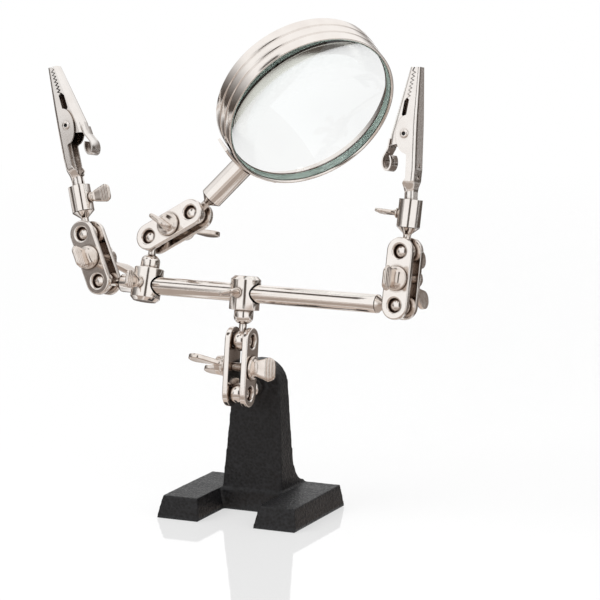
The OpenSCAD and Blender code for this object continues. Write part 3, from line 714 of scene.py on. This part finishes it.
def plate_piece(node, side, place):
    bm = bmesh.new()

    def level(depth):
        return side * (STACK - depth)

    outer = quarter(PLATE_EDGE)
    inner = [(i, PLATE_T - d) for i, d in reversed(quarter(PLATE_EDGE / 2))]
    rim = [(PLATE_EDGE + SUPPORT, 0)] + outer + inner + [(PLATE_EDGE / 2 + SUPPORT, PLATE_T)]
    made = [loft(bm, [stadium(i, level(d)) for i, d in rim])]
    seat = STACK - sqrt(SEAT_R ** 2 - PLATE_HOLE_R ** 2)
    ball = [(PLATE_HOLE_R + PLATE_LIP + SUPPORT, 0)]
    ball += [(PLATE_HOLE_R + i, d) for i, d in quarter(PLATE_LIP)]
    ball += [(PLATE_HOLE_R, seat), (SEAT_MOUTH, PLATE_T), (SEAT_MOUTH + SUPPORT, PLATE_T)]
    for z in (0, LINK_LEN):
        made.append(loft(bm, [round_hole(r, level(d), z) for r, d in ball]))
    bore = LINK_SCREW_D / 2 + FIT
    bolt = [(bore + SUPPORT, 0), (bore, 0), (bore, PLATE_T), (bore + SUPPORT, PLATE_T)]
    made.append(loft(bm, [round_hole(r, level(d), LINK_LEN / 2) for r, d in bolt]))
    fill(bm, [rings[0] for rings in made])
    fill(bm, [rings[-1] for rings in made])
    finish_piece(bm, node, place)


plate_piece("centre_plate_left", 1, CENTRE_PLATES)
plate_piece("centre_plate_right", -1, CENTRE_PLATES)
for arm_name, place in (("left", LEFT_LINK), ("right", RIGHT_LINK), ("lens", LENS_LINK)):
    plate_piece(arm_name + "_plate_front", -1, place)
    plate_piece(arm_name + "_plate_rear", 1, place)


# Thumb screws and wing nuts

def threaded(r, low, high, steps):
    """Rings of a screw thread that winds up round the shank."""
    pitch, depth, rings_to_turn = THREAD
    rings = []
    count = int((high - low) / pitch * rings_to_turn)
    for i in range(count + 1):
        z = low + (high - low) * i / count
        ring = []
        for k, a in enumerate(circle(steps)):
            wave = (z / pitch - k / steps) % 1.0
            s = r - depth * (1 - abs(2 * wave - 1))
            ring.append(Vector((s * cos(a), s * sin(a), z)))
        rings.append(ring)
    return rings


def blade_half_width(width, height, z):
    lobe = width * BLADE_LOBE
    top = height - lobe
    if z < top:
        foot = width * BLADE_FOOT
        return foot + (width / 2 - foot) * z / top
    return width / 2 - lobe + sqrt(max(lobe ** 2 - (z - top) ** 2, 0))


def blade_ring(width, height, thick, z, steps):
    """A slice of the thumb blade: thick at its rim, hollowed in the middle and grooved across."""
    depth, pitch, count = BLADE_GROOVE
    a = blade_half_width(width, height, z)
    round_off = max(0.0, 1 - (height - z) / BLADE_ROUND)
    b = thick / 2 * sqrt(max(1 - round_off ** 2, BLADE_THIN))
    for i in range(1, count + 1):
        near = (z - height + i * pitch) / (GROOVE_SPAN * depth)
        b -= depth * max(0.0, 1 - near * near)
    ring = oval(a, b, BLADE_POWER, z, steps)
    for point in ring:
        point.y *= 1 - BLADE_HOLLOW + BLADE_HOLLOW * (point.x / a) ** 2
    return ring


def screw_piece(node, place, blade, rim_d, rim_h, shank_d, shank_h, steps=40):
    width, height, thick = blade
    r, rim = shank_d / 2, rim_d / 2

    def disc(radius, z):
        return oval(radius, radius, 2, z, steps)

    rings = [[Vector((0, 0, -shank_h))], disc(r - SCREW_EASE, -shank_h)]
    rings += threaded(r, THREAD_ENDS[0] - shank_h, -THREAD_ENDS[1], steps)
    rings += [disc(r, -SCREW_EASE), disc(r, 0)]
    edge = quarter(FLANGE_SOFT * rim_h, 3)
    rings += [disc(rim - i, d) for i, d in edge]
    rings += [disc(rim - i, rim_h - d) for i, d in reversed(edge)]
    foot = rim_h + RUN_H
    wide = blade_half_width(width, height, foot)
    for share in RUN_STEPS:
        fall = (1 - share) ** RUN_POWER
        if rim > wide:
            a = wide + (RUN_FOOT * rim - wide) * fall
        else:
            a = wide - (wide - RUN_WIDE_FOOT * rim) * (1 - share)
        b = thick / 2 + (RUN_FOOT * rim - thick / 2) * fall
        rings.append(oval(a, b, 2 + (BLADE_POWER - 2) * share, rim_h + RUN_H * share, steps))
    z = foot
    while z < height - BLADE_SLICE / 5:
        rings.append(blade_ring(width, height, thick, z, steps))
        z += BLADE_SLICE
    rings.append(blade_ring(width, height, thick, height - BLADE_SLICE / 10, steps))
    rings.append([Vector((0, 0, height))])
    bm = bmesh.new()
    loft(bm, rings)
    finish_piece(bm, node, place, sharp=60, material=FINISH["worn_plate"])


def nut_piece(node, place):
    bm = bmesh.new()
    bore = LINK_SCREW_D / 2 + FIT
    waist = NUT_WAIST * FLANGE_D
    foot = FLANGE_D / 2
    profile = [(bore, 0), (foot - NUT_EASE[0], 0), (foot, NUT_EASE[1]), (foot, NUT_RIM_H)]
    profile += [(waist + NUT_EASE[1], NUT_WAIST_H), (waist, NUT_FOOT_H), (bore, NUT_FOOT_H)]
    lathe(bm, profile, steps=48, closed=True)
    ear_x, ear_z = NUT_SPAN / 2 - NUT_EAR_R, NUT_H - NUT_EAR_R
    line = [(EAR_ROOT_X, EAR_LOW[0][1])] + [(waist + out, up) for out, up in EAR_LOW]
    first, last, count = EAR_ARC
    for k in range(count + 1):
        a = radians(first + (last - first) * k / count)
        line.append((ear_x + NUT_EAR_R * cos(a), ear_z + NUT_EAR_R * sin(a)))
    line += [(EAR_TOP[0], NUT_FOOT_H + EAR_TOP[1]), (EAR_ROOT_X, NUT_FOOT_H)]
    for side in (-1, 1):
        solid(bm, [[(side * x, y, z) for x, z in line] for y in (-NUT_EAR_T / 2, NUT_EAR_T / 2)])
    bmesh.ops.recalc_face_normals(bm, faces=bm.faces)
    finish_piece(fused(bm, *NUT_SKIN), node, place, sharp=75, material=FINISH["worn_plate"])


LINK_SHANK = 2 * STACK + 2 * FACE_GAP + NUT_FOOT_H
for arm_name, place, screw_turn, nut_turn in (
        ("centre", CENTRE_PLATES, 90, 20), ("left", LEFT_LINK, 90, 60),
        ("right", RIGHT_LINK, 90, 79), ("lens", LENS_LINK, 30, -62)):
    front = place @ HALF_WAY @ out_front(STACK + FACE_GAP) @ turn("Z", screw_turn)
    screw_piece(arm_name + "_thumb_screw", front, BLADE, FLANGE_D, FLANGE_H, LINK_SCREW_D, LINK_SHANK)
    nut_piece(arm_name + "_wing_nut", place @ HALF_WAY @ out_rear(STACK + FACE_GAP) @ turn("Z", nut_turn))

CLAMP_SCREW_SEAT = CLAMP_D / 2 + FACE_GAP
for node, place, screw_turn in (
        ("centre_clamp_screw", CENTRE_CLAMP, 20), ("lens_clamp_screw", LENS_BALL, 90)):
    place = place @ move(0, 0, CLAMP_REACH) @ out_front(CLAMP_SCREW_SEAT) @ turn("Z", screw_turn)
    screw_piece(node, place, SET_BLADE, SET_FLANGE_D, SET_FLANGE_H, SET_SCREW_D,
                CLAMP_SCREW_SEAT - BAR_D / 2 - FACE_GAP)
SOCKET_SCREW_SEAT = SOCKET_D / 2 + FACE_GAP
for node, place, side, screw_turn in (
        ("left_socket_screw", LEFT_SOCKET, 90, 90), ("right_socket_screw", RIGHT_SOCKET, -90, 10)):
    place = place @ move(0, 0, SOCKET_TOP - SOCKET_SCREW_H) @ turn("Z", side)
    screw_piece(node, place @ out_front(SOCKET_SCREW_SEAT) @ turn("Z", screw_turn), SET_BLADE,
                SET_FLANGE_D, SET_FLANGE_H, SET_SCREW_D, SOCKET_SCREW_SEAT - SOCKET_BORE_D / 2)


# Ball studs and the cross bar

def stud_piece(node, place, seat_r, length, shank, domed=False):
    profile = []
    top = acos(NECK_R / BALL_R)
    for k in range(25):
        a = -pi / 2 + (top + pi / 2) * k / 24
        profile.append((BALL_R * cos(a) if k else 0.0, BALL_R * sin(a)))
    profile.append((NECK_R, NECK_REACH - NECK_BEND))
    if domed:
        swell = seat_r - NECK_R
        for k in range(12):
            a = pi / 2 * k / 11
            profile.append((NECK_R + swell * sin(a) ** DOME_POWER, STUD_SEAT - CONE_H * cos(a)))
    else:
        inset, last_inset, drop = CONE_EDGE
        drop = 0 if length > 0 else drop
        profile += [(NECK_R + CONE_FOOT, NECK_REACH), (NECK_R + NECK_BEND, NECK_REACH + NECK_BEND)]
        profile += [(seat_r - inset, STUD_SEAT - STUD_EASE), (seat_r - last_inset, STUD_SEAT - drop)]
    end = STUD_SEAT + length
    shank_r, shank_h = shank[0], FACE_GAP + shank[1]
    if length > 0:
        profile += [(seat_r, STUD_SEAT + STUD_EASE), (seat_r, end - STUD_EASE)]
        profile.append((seat_r - COLLAR_SOFT, end - COLLAR_SOFT))
    profile += [(seat_r - STUD_EASE, end), (shank_r, end), (shank_r, end + shank_h - STUD_EASE)]
    profile += [(shank_r - STUD_EASE, end + shank_h), (0, end + shank_h)]
    bm = bmesh.new()
    lathe(bm, profile, steps=48)
    finish_piece(bm, node, place, sharp=35)


stud_piece("base_ball_stud", BASE_BALL @ turn("X", -90), COLLAR_R, BASE_COLLAR_H - FACE_GAP, BASE_SHANK)
for node, place in (("centre_clamp_ball_stud", CENTRE_CLAMP), ("lens_clamp_ball_stud", LENS_BALL)):
    stud_piece(node, place, COLLAR_R, COLLAR_H - FACE_GAP, (BASE_SHANK[0], CLAMP_SHANK_H), domed=True)
for node, reach, tip in (
        ("left_bar_ball_stud", -LEFT_REACH, 90), ("right_bar_ball_stud", RIGHT_REACH, -90)):
    place = BAR @ move(reach, 0, 0) @ turn("Y", tip)
    stud_piece(node, place, BAR_D / 2, 0, (STUD_SHANK[0], BAR_SHANK_H))
stud_piece("left_socket_ball_stud", LEFT_SOCKET, SOCKET_D / 2, 0, STUD_SHANK)
stud_piece("right_socket_ball_stud", RIGHT_SOCKET, SOCKET_D / 2, 0, STUD_SHANK)
stud_piece("lens_ball_stud", STEM, STEM_D / 2, 0, STEM_SHANK)


def bar_piece():
    low = -LEFT_REACH + STUD_SEAT + FACE_GAP
    high = RIGHT_REACH - STUD_SEAT - FACE_GAP
    r, bore, deep = BAR_D / 2, STUD_SHANK[0] + FIT, BAR_SHANK_H + FACE_GAP
    ease, inset = BAR_EASE
    profile = [(0, low + deep), (bore, low + deep), (bore, low)]
    profile += [(r - ease, low), (r - inset, low + inset), (r, low + ease)]
    profile += [(r, low + (high - low) * k / 12) for k in range(1, 12)]
    profile += [(r, high - ease), (r - inset, high - inset), (r - ease, high)]
    profile += [(bore, high), (bore, high - deep), (0, high - deep)]
    bm = bmesh.new()
    lathe(bm, profile)
    finish_piece(bm, "cross_bar", BAR @ turn("Y", 90))


bar_piece()


# Clamps on the bar

def rod(r, start, finish, steps=96):
    """A plain round tool between two points, for cutting a bore."""
    along_rod = Vector(finish) - Vector(start)
    bm = bmesh.new()
    lathe(bm, [(0.0, 0.0), (r, 0.0), (r, along_rod.length), (0.0, along_rod.length)], steps)
    place = Matrix.Translation(start) @ along_rod.to_track_quat("Z", "Y").to_matrix().to_4x4()
    bmesh.ops.transform(bm, matrix=place, verts=bm.verts)
    return bm


def clamp_piece(node, place):
    bm = bmesh.new()
    r = CLAMP_D / 2
    top = CLAMP_SEAT + CLAMP_H
    outline = [(0.0, CLAMP_SEAT), (r, CLAMP_SEAT), (r, top - CLAMP_CHAMFER)]
    outline += [(r - CLAMP_CHAMFER, top), (0.0, top)]
    lathe(bm, fillet(outline, CLAMP_EASE, closed=False), steps=128)
    bore, shift = CLAMP_BORE
    for tool_r, start, end in (
            (bore, (-r - PAST, shift, CLAMP_REACH), (r + PAST, shift, CLAMP_REACH)),
            (BASE_SHANK[0] + FIT, (0, 0, CLAMP_SEAT - PAST), (0, 0, CLAMP_REACH)),
            (SET_SCREW_D / 2 + FIT, (0, 0, CLAMP_REACH), (0, -r - PAST, CLAMP_REACH))):
        bm = carved(bm, rod(tool_r, start, end))
    finish_piece(bm, node, place)


clamp_piece("centre_clamp_body", CENTRE_CLAMP)
clamp_piece("lens_clamp_body", LENS_BALL)


# Magnifier

def ring_piece():
    half, wall, lip = RING_W / 2, RING_R - RING_T, LENS_R - LIP_T
    line = [(wall, -half), (RING_R, -half)]
    for at in (-GROOVE_AT, GROOVE_AT):
        line += [(RING_R, at - GROOVE_W / 2), (RING_R - GROOVE_T, at - GROOVE_FLOOR_W / 2)]
        line += [(RING_R - GROOVE_T, at + GROOVE_FLOOR_W / 2), (RING_R, at + GROOVE_W / 2)]
    line += [(RING_R, half), (RING_R - RIM_T, half), (wall, half - RIM_H)]
    at = LENS_SHIFT - LIP_AT
    line += [(wall, at + LIP_H / 2), (lip, at + LIP_H / 2), (lip, at - LIP_H / 2), (wall, at - LIP_H / 2)]
    bm = bmesh.new()
    lathe(bm, fillet(line, RING_EASE), steps=160, closed=True)
    finish_piece(bm, "lens_ring", RING @ turn("X", 90), sharp=50)


def lens_face(face, side, r):
    """A point of a face of the lens, which bulges to the front (side 1) or to the back (side -1)."""
    edge, bulge, power = face
    return (r, edge + side * bulge * (1 - (r / LENS_R) ** power))


def lens_piece():
    rim = LENS_R - LENS_CHAMFER
    radii = [rim * k / 32 for k in range(33)]
    profile = [lens_face(LENS_FRONT, 1, r) for r in radii]
    profile += [(LENS_R, LENS_FRONT[0] - LENS_CHAMFER), (LENS_R, LENS_BACK[0] + LENS_CHAMFER)]
    profile += [lens_face(LENS_BACK, -1, r) for r in reversed(radii)]
    bm = bmesh.new()
    lathe(bm, profile, steps=160)
    for f in bm.faces:
        f.material_index = int(all(v.co.xy.length > rim - 1e-3 for v in f.verts))
    piece = finish_piece(bm, "lens", RING @ turn("X", 90), sharp=30)
    piece.data.materials.append(GROUND)


ring_piece()
lens_piece()


# Clips

def rivet_piece(node, place):
    head_r, head_h = RIVET_HEAD
    bore_r, bore_h = RIVET_BORE
    inset, drop, soft = RIVET_EASE
    top = CLIP_W / 2 + RIVET_PLAY + head_h
    half = [(0.0, top - bore_h), (bore_r - RIVET_PLAY, top - bore_h)]
    half += [(r, top - down) for r, down in RIVET_RIM]
    half += [(head_r - inset, top - drop), (head_r, top - head_h + soft)]
    half += [(head_r - soft, top - head_h), (RIVET_D / 2, top - head_h)]
    bm = bmesh.new()
    lathe(bm, half + [(r, -z) for r, z in reversed(half)], steps=40)
    # Painted shade: the bore's faces take the black paint, in place of the shade inside the hollow rivet
    for f in bm.faces:
        f.material_index = int(all(v.co.xy.length < bore_r + 1e-3 for v in f.verts))
    piece = finish_piece(bm, node, place @ move(RIVET_X, 0, RIVET_H) @ turn("X", 90), sharp=45)
    piece.data.materials.append(FINISH["cast_black"])


def spring_piece(node, place, steps=24, sides=10):
    rivet_room, turn_room, jaw_room = SPRING_ROOM
    r = RIVET_D / 2 + SPRING_WIRE / 2 + rivet_room
    pitch = SPRING_WIRE + turn_room
    count = SPRING_TURNS * steps + steps // 4
    path = []
    for i in range(count + 1):
        a = radians(SPRING_START) + 2 * pi * i / steps
        y = (i - count / 2) * pitch / steps
        path.append(Vector((RIVET_X + r * cos(a), y, RIVET_H + r * sin(a))))

    def flat(v):
        return Vector((v.x, 0, v.z)).normalized()

    # The wire's ends run on to the fixed jaw's spine and to the moving jaw's back
    start, end = flat(path[0] - path[1]), flat(path[-1] - path[-2])
    fixed = (SPINE_X - SHEET_T - SPRING_WIRE / 2 - jaw_room - path[0].x) / start.x
    slope = (MOVING_TIP_X - BACK_X) / (CLIP_LEN - RIVET_H)
    wall = BACK_X + SHEET_T * BACK_SLANT + slope * SPRING_WIRE / 2 + jaw_room
    moving = (wall + slope * (path[-1].z - RIVET_H) - path[-1].x) / (end.x - slope * end.z)
    path = [path[0] + start * fixed] + path + [path[-1] + end * moving]
    rings = [[path[0]]]
    for i, here in enumerate(path):
        ahead = (path[min(i + 1, len(path) - 1)] - path[max(i - 1, 0)]).normalized()
        u = ahead.cross(Vector((0, 1, 0))).normalized()
        v = ahead.cross(u)
        rings.append([here + SPRING_WIRE / 2 * (cos(b) * u + sin(b) * v) for b in circle(sides)])
    rings.append([path[-1]])
    bm = bmesh.new()
    loft(bm, rings)
    finish_piece(bm, node, place, sharp=60)


def toothed_edge(play, window):
    """A jaw's free edge as (height, x), from its tip past the teeth to the foot of the wire window."""
    line = [(CLIP_LEN, SPINE_X - TIP_DEPTH + play)]
    for i in range(2 * TEETH + 1):
        point = TOOTH_TOP.lerp(TOOTH_ROOT, i / (2 * TEETH))
        line.append((point.y, point.x + (TOOTH_H if i % 2 else -TOOTH_H) + play))
    return line + [(TOOTH_ROOT.y - drop, TOOTH_ROOT.x + shift) for drop, shift in window]


def along(line, z):
    """The x of a line of (height, x) at a height."""
    for (high, x0), (low, x1) in zip(line, line[1:]):
        if high >= z >= low:
            return x0 + (x1 - x0) * (high - z) / max(high - low, 1e-9)
    return line[-1][1]


def levels(line, step):
    """Heights from the top of a line to its foot, with all its corners."""
    out = []
    for (high, x0), (low, x1) in zip(line, line[1:]):
        count = max(1, ceil((high - low) / step), ceil(abs(x1 - x0) / step))
        out += [high + (low - high) * k / count for k in range(count)]
    return out + [line[-1][0]]


def sheet_section(spine, free, width, fold):
    """Outer and inner line of a channel of bent sheet: two walls and a spine with round folds."""
    fold = min(fold, spine - free - SUPPORT, FOLD_SHARE * width)
    lines = []
    for inset in (0.0, SHEET_T):
        r = max(fold - inset, FOLD_LEAST)
        x, y = spine - inset - r, width / 2 - inset - r
        half = [(free, y + r), ((free + x) / 2, y + r), (x - SUPPORT, y + r)]
        for k in range(6):
            a = pi / 2 * (1 - k / 5)
            half.append((x + r * cos(a), y + r * sin(a)))
        half.append((x + r, y - min(SUPPORT, y)))
        lines.append([Vector((u, -v)) for u, v in half] + [Vector((u, v)) for u, v in reversed(half)])
    return lines


def tube_section(line, radius, inset):
    """A channel's line rolled up into an open tube."""
    steps = [0.0]
    for a, b in zip(line, line[1:]):
        steps.append(steps[-1] + (b - a).length)
    out = []
    for step in steps:
        a = radians(TAIL_SEAM * (2 * step / steps[-1] - 1))
        out.append((radius - inset) * Vector((cos(a), sin(a))))
    return out


def sheet_skin(bm, sections):
    """Skins (height, outer line, inner line) from the top down and closes both ends."""
    rings = []
    for z, outer, inner in sections:
        rings.append([Vector((p.x, p.y, z)) for p in outer + inner[::-1]])
    made = loft(bm, rings)
    count = len(sections[0][1])
    for ring in (made[0], made[-1]):
        for k in range(count - 1):
            bm.faces.new((ring[k], ring[k + 1], ring[2 * count - 2 - k], ring[2 * count - 1 - k]))


def jaw_width(wide, z):
    """Width of a jaw at a height: level at the rivet, then an even taper to the tip."""
    rise = max(0.0, z - TAPER_H + TAPER_EASE)
    if rise < 2 * TAPER_EASE:
        rise = rise * rise / (4 * TAPER_EASE)
    else:
        rise -= TAPER_EASE
    return wide + (TIP_W - wide) * rise / (CLIP_LEN + TAPER_PAST - TAPER_H)


def jaw_fold(radii, z):
    share = min(1.0, (CLIP_LEN - z) / (CLIP_LEN - TAPER_H))
    return radii[0] + (radii[1] - radii[0]) * share


def rolled_share(z):
    """How far the fixed jaw's tail is rolled up at a height, from 0 to 1."""
    share = (TAIL_ROLL[0] - z) / (TAIL_ROLL[0] - TAIL_ROLL[1])
    return eased(min(max(share, 0.0), 1.0))


def fixed_jaw_piece(node, place):
    free = toothed_edge(JAW_PLAY, FIXED_WINDOW)
    rise, half, root, reach = FIXED_LOBE
    for k in range(1, 24):
        a = pi * k / 24
        free.append((RIVET_H + rise + half * cos(a), root - reach * sin(a)))
    free += FIXED_FOOT
    sections = []
    for z in levels(free, JAW_SLICE):
        outer, inner = sheet_section(
            along(FIXED_SPINE, z), along(free, z), jaw_width(CLIP_W, z), jaw_fold(FIXED_FOLD, z))
        rolled = rolled_share(z)
        if rolled:
            inner = [p.lerp(q, rolled) for p, q in zip(inner, tube_section(outer, TAIL_R, TAIL_WALL))]
            outer = [p.lerp(q, rolled) for p, q in zip(outer, tube_section(outer, TAIL_R, 0.0))]
        sections.append((z, outer, inner))
    bm = bmesh.new()
    sheet_skin(bm, sections)
    bmesh.ops.recalc_face_normals(bm, faces=bm.faces)
    holes = bmesh.new()
    r = WIRE_HOLE_R
    for z in WIRE_HOLES:
        solid(holes, [[Vector((x, r * cos(a), z + r * sin(a))) for a in circle(24)]
                      for x in (WIRE_HOLE_R, SPINE_X + PAST)])
    bmesh.ops.recalc_face_normals(holes, faces=holes.faces)
    finish_piece(carved(bm, holes), node, place)


def tab_loop(bm, wide):
    """The thumb tab: a strip of sheet bent over a knee and rolled to a loop."""
    x, z, wide_x, wide_z = TAB_LOOP
    turns = [radians(a) for a in range(*TAB_TURN)]
    path = [Vector(p) for p in TAB_KNEE]
    path += [Vector((x + wide_x * cos(a), z + wide_z * sin(a))) for a in turns]
    path = fillet(path, TAB_BEND, 3, closed=False)
    u, v = TAB_CORNER
    section = [(-1, -v), (-u, -1), (u, -1), (1, -v), (1, v), (u, 1), (-u, 1), (-1, v)]
    rings = []
    for i, here in enumerate(path):
        tangent = (path[min(i + 1, len(path) - 1)] - path[max(i - 1, 0)]).normalized()
        side = Vector((-tangent.y, tangent.x)) * SHEET_T / 2
        half = wide / 2 * (1 - TAB_TAPER * i / len(path))
        ring = []
        for across, out in section:
            spot = here + side * out
            ring.append(Vector((spot.x, half * across, spot.y)))
        rings.append(ring)
    solid(bm, rings)


def moving_jaw_piece(node, place):
    free = toothed_edge(-JAW_PLAY, MOVING_WINDOW) + MOVING_EDGE
    wide = CLIP_W - 2 * SHEET_T - WALL_PLAY
    sections = []
    for z in levels(free, JAW_SLICE):
        lines = sheet_section(
            -along(MOVING_BACK, z), -along(free, z), jaw_width(wide, z), jaw_fold(MOVING_FOLD, z))
        sections.append((z, *([Vector((-p.x, p.y)) for p in line] for line in lines)))
    bm = bmesh.new()
    sheet_skin(bm, sections)
    tab_loop(bm, wide)
    finish_piece(bm, node, place)


for arm_name, place in (("left", LEFT_CLIP), ("right", RIGHT_CLIP)):
    rivet_piece(arm_name + "_clip_rivet", place)
    spring_piece(arm_name + "_clip_spring", place)
    fixed_jaw_piece(arm_name + "_clip_fixed_jaw", place)
    moving_jaw_piece(arm_name + "_clip_moving_jaw", place)


# Turned and bent solids that keep the CAD shape, with their edges eased

for node, ease in EASED.items():
    weld = nodes[node].modifiers.new("weld", "WELD")
    weld.merge_threshold = 1e-6
    edge = nodes[node].modifiers.new("edge", "BEVEL")
    edge.width = ease * MM
    edge.segments = 3
    edge.limit_method = "ANGLE"
    edge.angle_limit = radians(40)
    nodes[node].modifiers.new("normals", "WEIGHTED_NORMAL").keep_sharp = True

for name, node in nodes.items():
    if not node.material_slots:
        node.data.materials.append(FINISH[SLOT_OF[name]])
    for slot in node.material_slots:
        slot.material = FINISH[SLOT_OF[name]]


# Studio, in metres

CENTRE = (0.0, 0.0, 0.08)
AMBIENT = 0.7
FLOOR_HALF = 3.0
FLOOR_Z = -0.0002
# The share of white in the floor as it is seen: least, most, and the distances of both
FLOOR_WHITE = (0.6, 1.0, 0.25, 0.9)


def panel(name, place, size, power):
    """A soft lamp, aimed at the object, that mirrors don't show."""
    lamp = bpy.data.lights.new(name, "AREA")
    lamp.shape = "RECTANGLE"
    lamp.size, lamp.size_y = size
    lamp.energy = power
    made = placed(name, lamp)
    made.location = place
    made.rotation_euler = (Vector(CENTRE) - Vector(place)).to_track_quat("-Z", "Y").to_euler()
    made.visible_glossy = False


panel("key", (-0.55, -0.55, 0.85), (0.6, 0.6), 6.0)
panel("fill", (0.75, -0.45, 0.45), (0.5, 0.7), 2.0)


def seen_rays(tree):
    """1 for the camera's rays and what mirrors and glass show, 0 for the light on the object."""
    path = add(tree, "LightPath")
    mirrored = reckoned("MAXIMUM", path.outputs["Is Camera Ray"], path.outputs["Is Glossy Ray"])
    return reckoned("MAXIMUM", mirrored, path.outputs["Is Transmission Ray"])


def blended(share, first, second, output="Material Output"):
    """Sends a mix of two shaders to the output."""
    both = {"Fac": share, 1: first.outputs[0], 2: second.outputs[0]}
    mix = feed(add(share, "MixShader"), both)
    feed(share.id_data.nodes[output], {"Surface": mix.outputs["Shader"]})


def white_world():
    world = bpy.data.worlds.new("studio")
    scene.world = world
    world.use_nodes = True
    tree = world.node_tree
    light = feed(tree.nodes["Background"], {"Color": (*WHITE, 1.0), "Strength": AMBIENT})
    seen = add(tree, "Background", Color=(*WHITE, 1.0), Strength=1.0)
    blended(seen_rays(tree), light, seen, "World Output")


def white_floor():
    """A pale polished floor, seen as white with a share of its own shade and mirror image."""
    mesh = bpy.data.meshes.new("floor")
    corners = ((-1, -1), (1, -1), (1, 1), (-1, 1))
    mesh.from_pydata([(x * FLOOR_HALF, y * FLOOR_HALF, FLOOR_Z) for x, y in corners], [], [(0, 1, 2, 3)])
    floor = placed("floor", mesh)
    material, tree, shader = new_material("floor_white")
    feed(shader, {"Base Color": (0.98, 0.98, 0.98, 1.0), "Roughness": 0.05, "Metallic": 0.35})
    glow = add(tree, "Emission", Color=(*WHITE, 1.0))
    place = add(tree, "NewGeometry").outputs["Position"]
    far = feed(add(tree, "VectorMath", operation="LENGTH"), {0: place}).outputs["Value"]
    share = reckoned("MULTIPLY", seen_rays(tree), spread(far, *FLOOR_WHITE))
    blended(share, shader, glow)
    mesh.materials.append(material)


white_world()
white_floor()


def card_material(name):
    """Shows the card's own shades, and from behind is clear, so the floor still mirrors the object."""
    material, tree, shader = new_material(name)
    tree.nodes.remove(shader)
    shade = add(tree, "Attribute", attribute_name="shade")
    light = add(tree, "Emission", Color=shade.outputs["Color"])
    behind = add(tree, "NewGeometry").outputs["Backfacing"]
    blended(behind, light, add(tree, "BsdfTransparent"))
    return material


def flag(name, grid, colour, soft):
    """A dark studio card from a grid of points, soft at its edges: only polished metal shows it."""
    rows, columns = len(grid), len(grid[0])
    mesh = bpy.data.meshes.new(name)
    faces = []
    for i in range(rows - 1):
        for j in range(columns - 1):
            k = i * columns + j
            faces.append((k, k + columns, k + columns + 1, k + 1))
    mesh.from_pydata([p for row in grid for p in row], [], faces)
    shade = mesh.color_attributes.new("shade", "FLOAT_COLOR", "POINT")
    for i in range(rows):
        for j in range(columns):
            up, across = i / (rows - 1), j / (columns - 1)
            edge = min(up / soft[0], (1 - up) / soft[1], across / soft[2], (1 - across) / soft[3], 1.0)
            shade.data[i * columns + j].color = (*(1 + (c - 1) * eased(edge) for c in colour), 1.0)
    card = placed(name, mesh)
    mesh.materials.append(card_material(name))
    card.visible_camera = False
    card.visible_diffuse = False
    card.visible_transmission = False
    card.visible_shadow = False


def spaced(span, count):
    """Even steps from one end of a span to the other."""
    return [span[0] + (span[1] - span[0]) * k / (count - 1) for k in range(count)]


def around(distance, azimuth, z):
    """A point at a distance from the upright axis, with the azimuth in degrees from the front."""
    a = radians(azimuth)
    return (distance * sin(a), -distance * cos(a), z)


# Cards: colour, and soft shares at the low or near, the high or far, the first and the last edge

NONE = 1e-6
HARD = (NONE, NONE, NONE, NONE)
DARK = (0.085, 0.07, 0.06)
DUSK = (0.2, 0.175, 0.16)
for name, distance, azimuths, heights, colour, soft in (
        ("right", 0.97, (84, 142), (0.0, 0.6), DARK, (NONE, 0.6, 0.15, NONE)),
        ("right_rear", 0.97, (142, 192), (0.0, 0.6), DUSK, (NONE, 0.6, NONE, 0.1)),
        ("left", 0.9, (-144, -47), (0.0, 0.78), DARK, (NONE, 0.9, 0.1, 0.14)),
        ("gap", 0.95, (10, 33), (0.0, 1.0), DARK, (NONE, 0.2, 0.2, 0.2)),
        ("high", 0.85, (-66, -32), (0.74, 1.8), DARK, (0.1, 0.3, 0.1, 0.2)),
        ("low", 0.5, (-52, -37), (0.0, 0.28), DUSK, (NONE, 0.55, 0.15, 0.15))):
    grid = [[around(distance, a, z) for a in spaced(azimuths, 41)] for z in spaced(heights, 21)]
    flag("flag_" + name, grid, colour, soft)
for name, height, distances, azimuths, colour, soft in (
        ("floor", 0.001, (0.3, 1.6), (-180, 180), (0.6, 0.53, 0.485), (NONE, 0.5, NONE, NONE)),
        ("near", 0.001, (0.06, 0.3), (-180, 180), (0.42, 0.36, 0.32), HARD),
        ("under", 0.001, (0.003, 0.06), (-180, 180), (0.58, 0.5, 0.45), HARD),
        ("patch_right", 0.002, (0.10, 0.45), (100, 210), (0.17, 0.145, 0.13), (0.1, NONE, 0.2, 0.1)),
        ("strip_right", 0.002, (0.45, 0.97), (86, 210), DARK, (NONE, NONE, 0.1, 0.1)),
        ("patch_left", 0.002, (0.10, 0.75), (-188, -70), (0.15, 0.128, 0.115), (0.1, 0.4, 0.1, 0.2))):
    grid = [[around(d, a, height) for a in spaced(azimuths, 61)] for d in spaced(distances, 21)]
    flag("flag_" + name, grid, colour, soft)


# Camera, at the photograph's angle

AZIMUTH = 24.36
ELEVATION = radians(10.21)
DISTANCE = 1.0508
TARGET = Vector((0.01856, 0.0, 0.0760))
back = Vector(around(cos(ELEVATION), AZIMUTH, sin(ELEVATION)))
camera = placed("camera", bpy.data.cameras.new("camera"))
camera.data.sensor_width = 36.0
camera.data.lens = 185.15
camera.location = TARGET + back * DISTANCE
camera.rotation_euler = (-back).to_track_quat("-Z", "Y").to_euler()
scene.camera = camera

scene.view_settings.view_transform = "Standard"
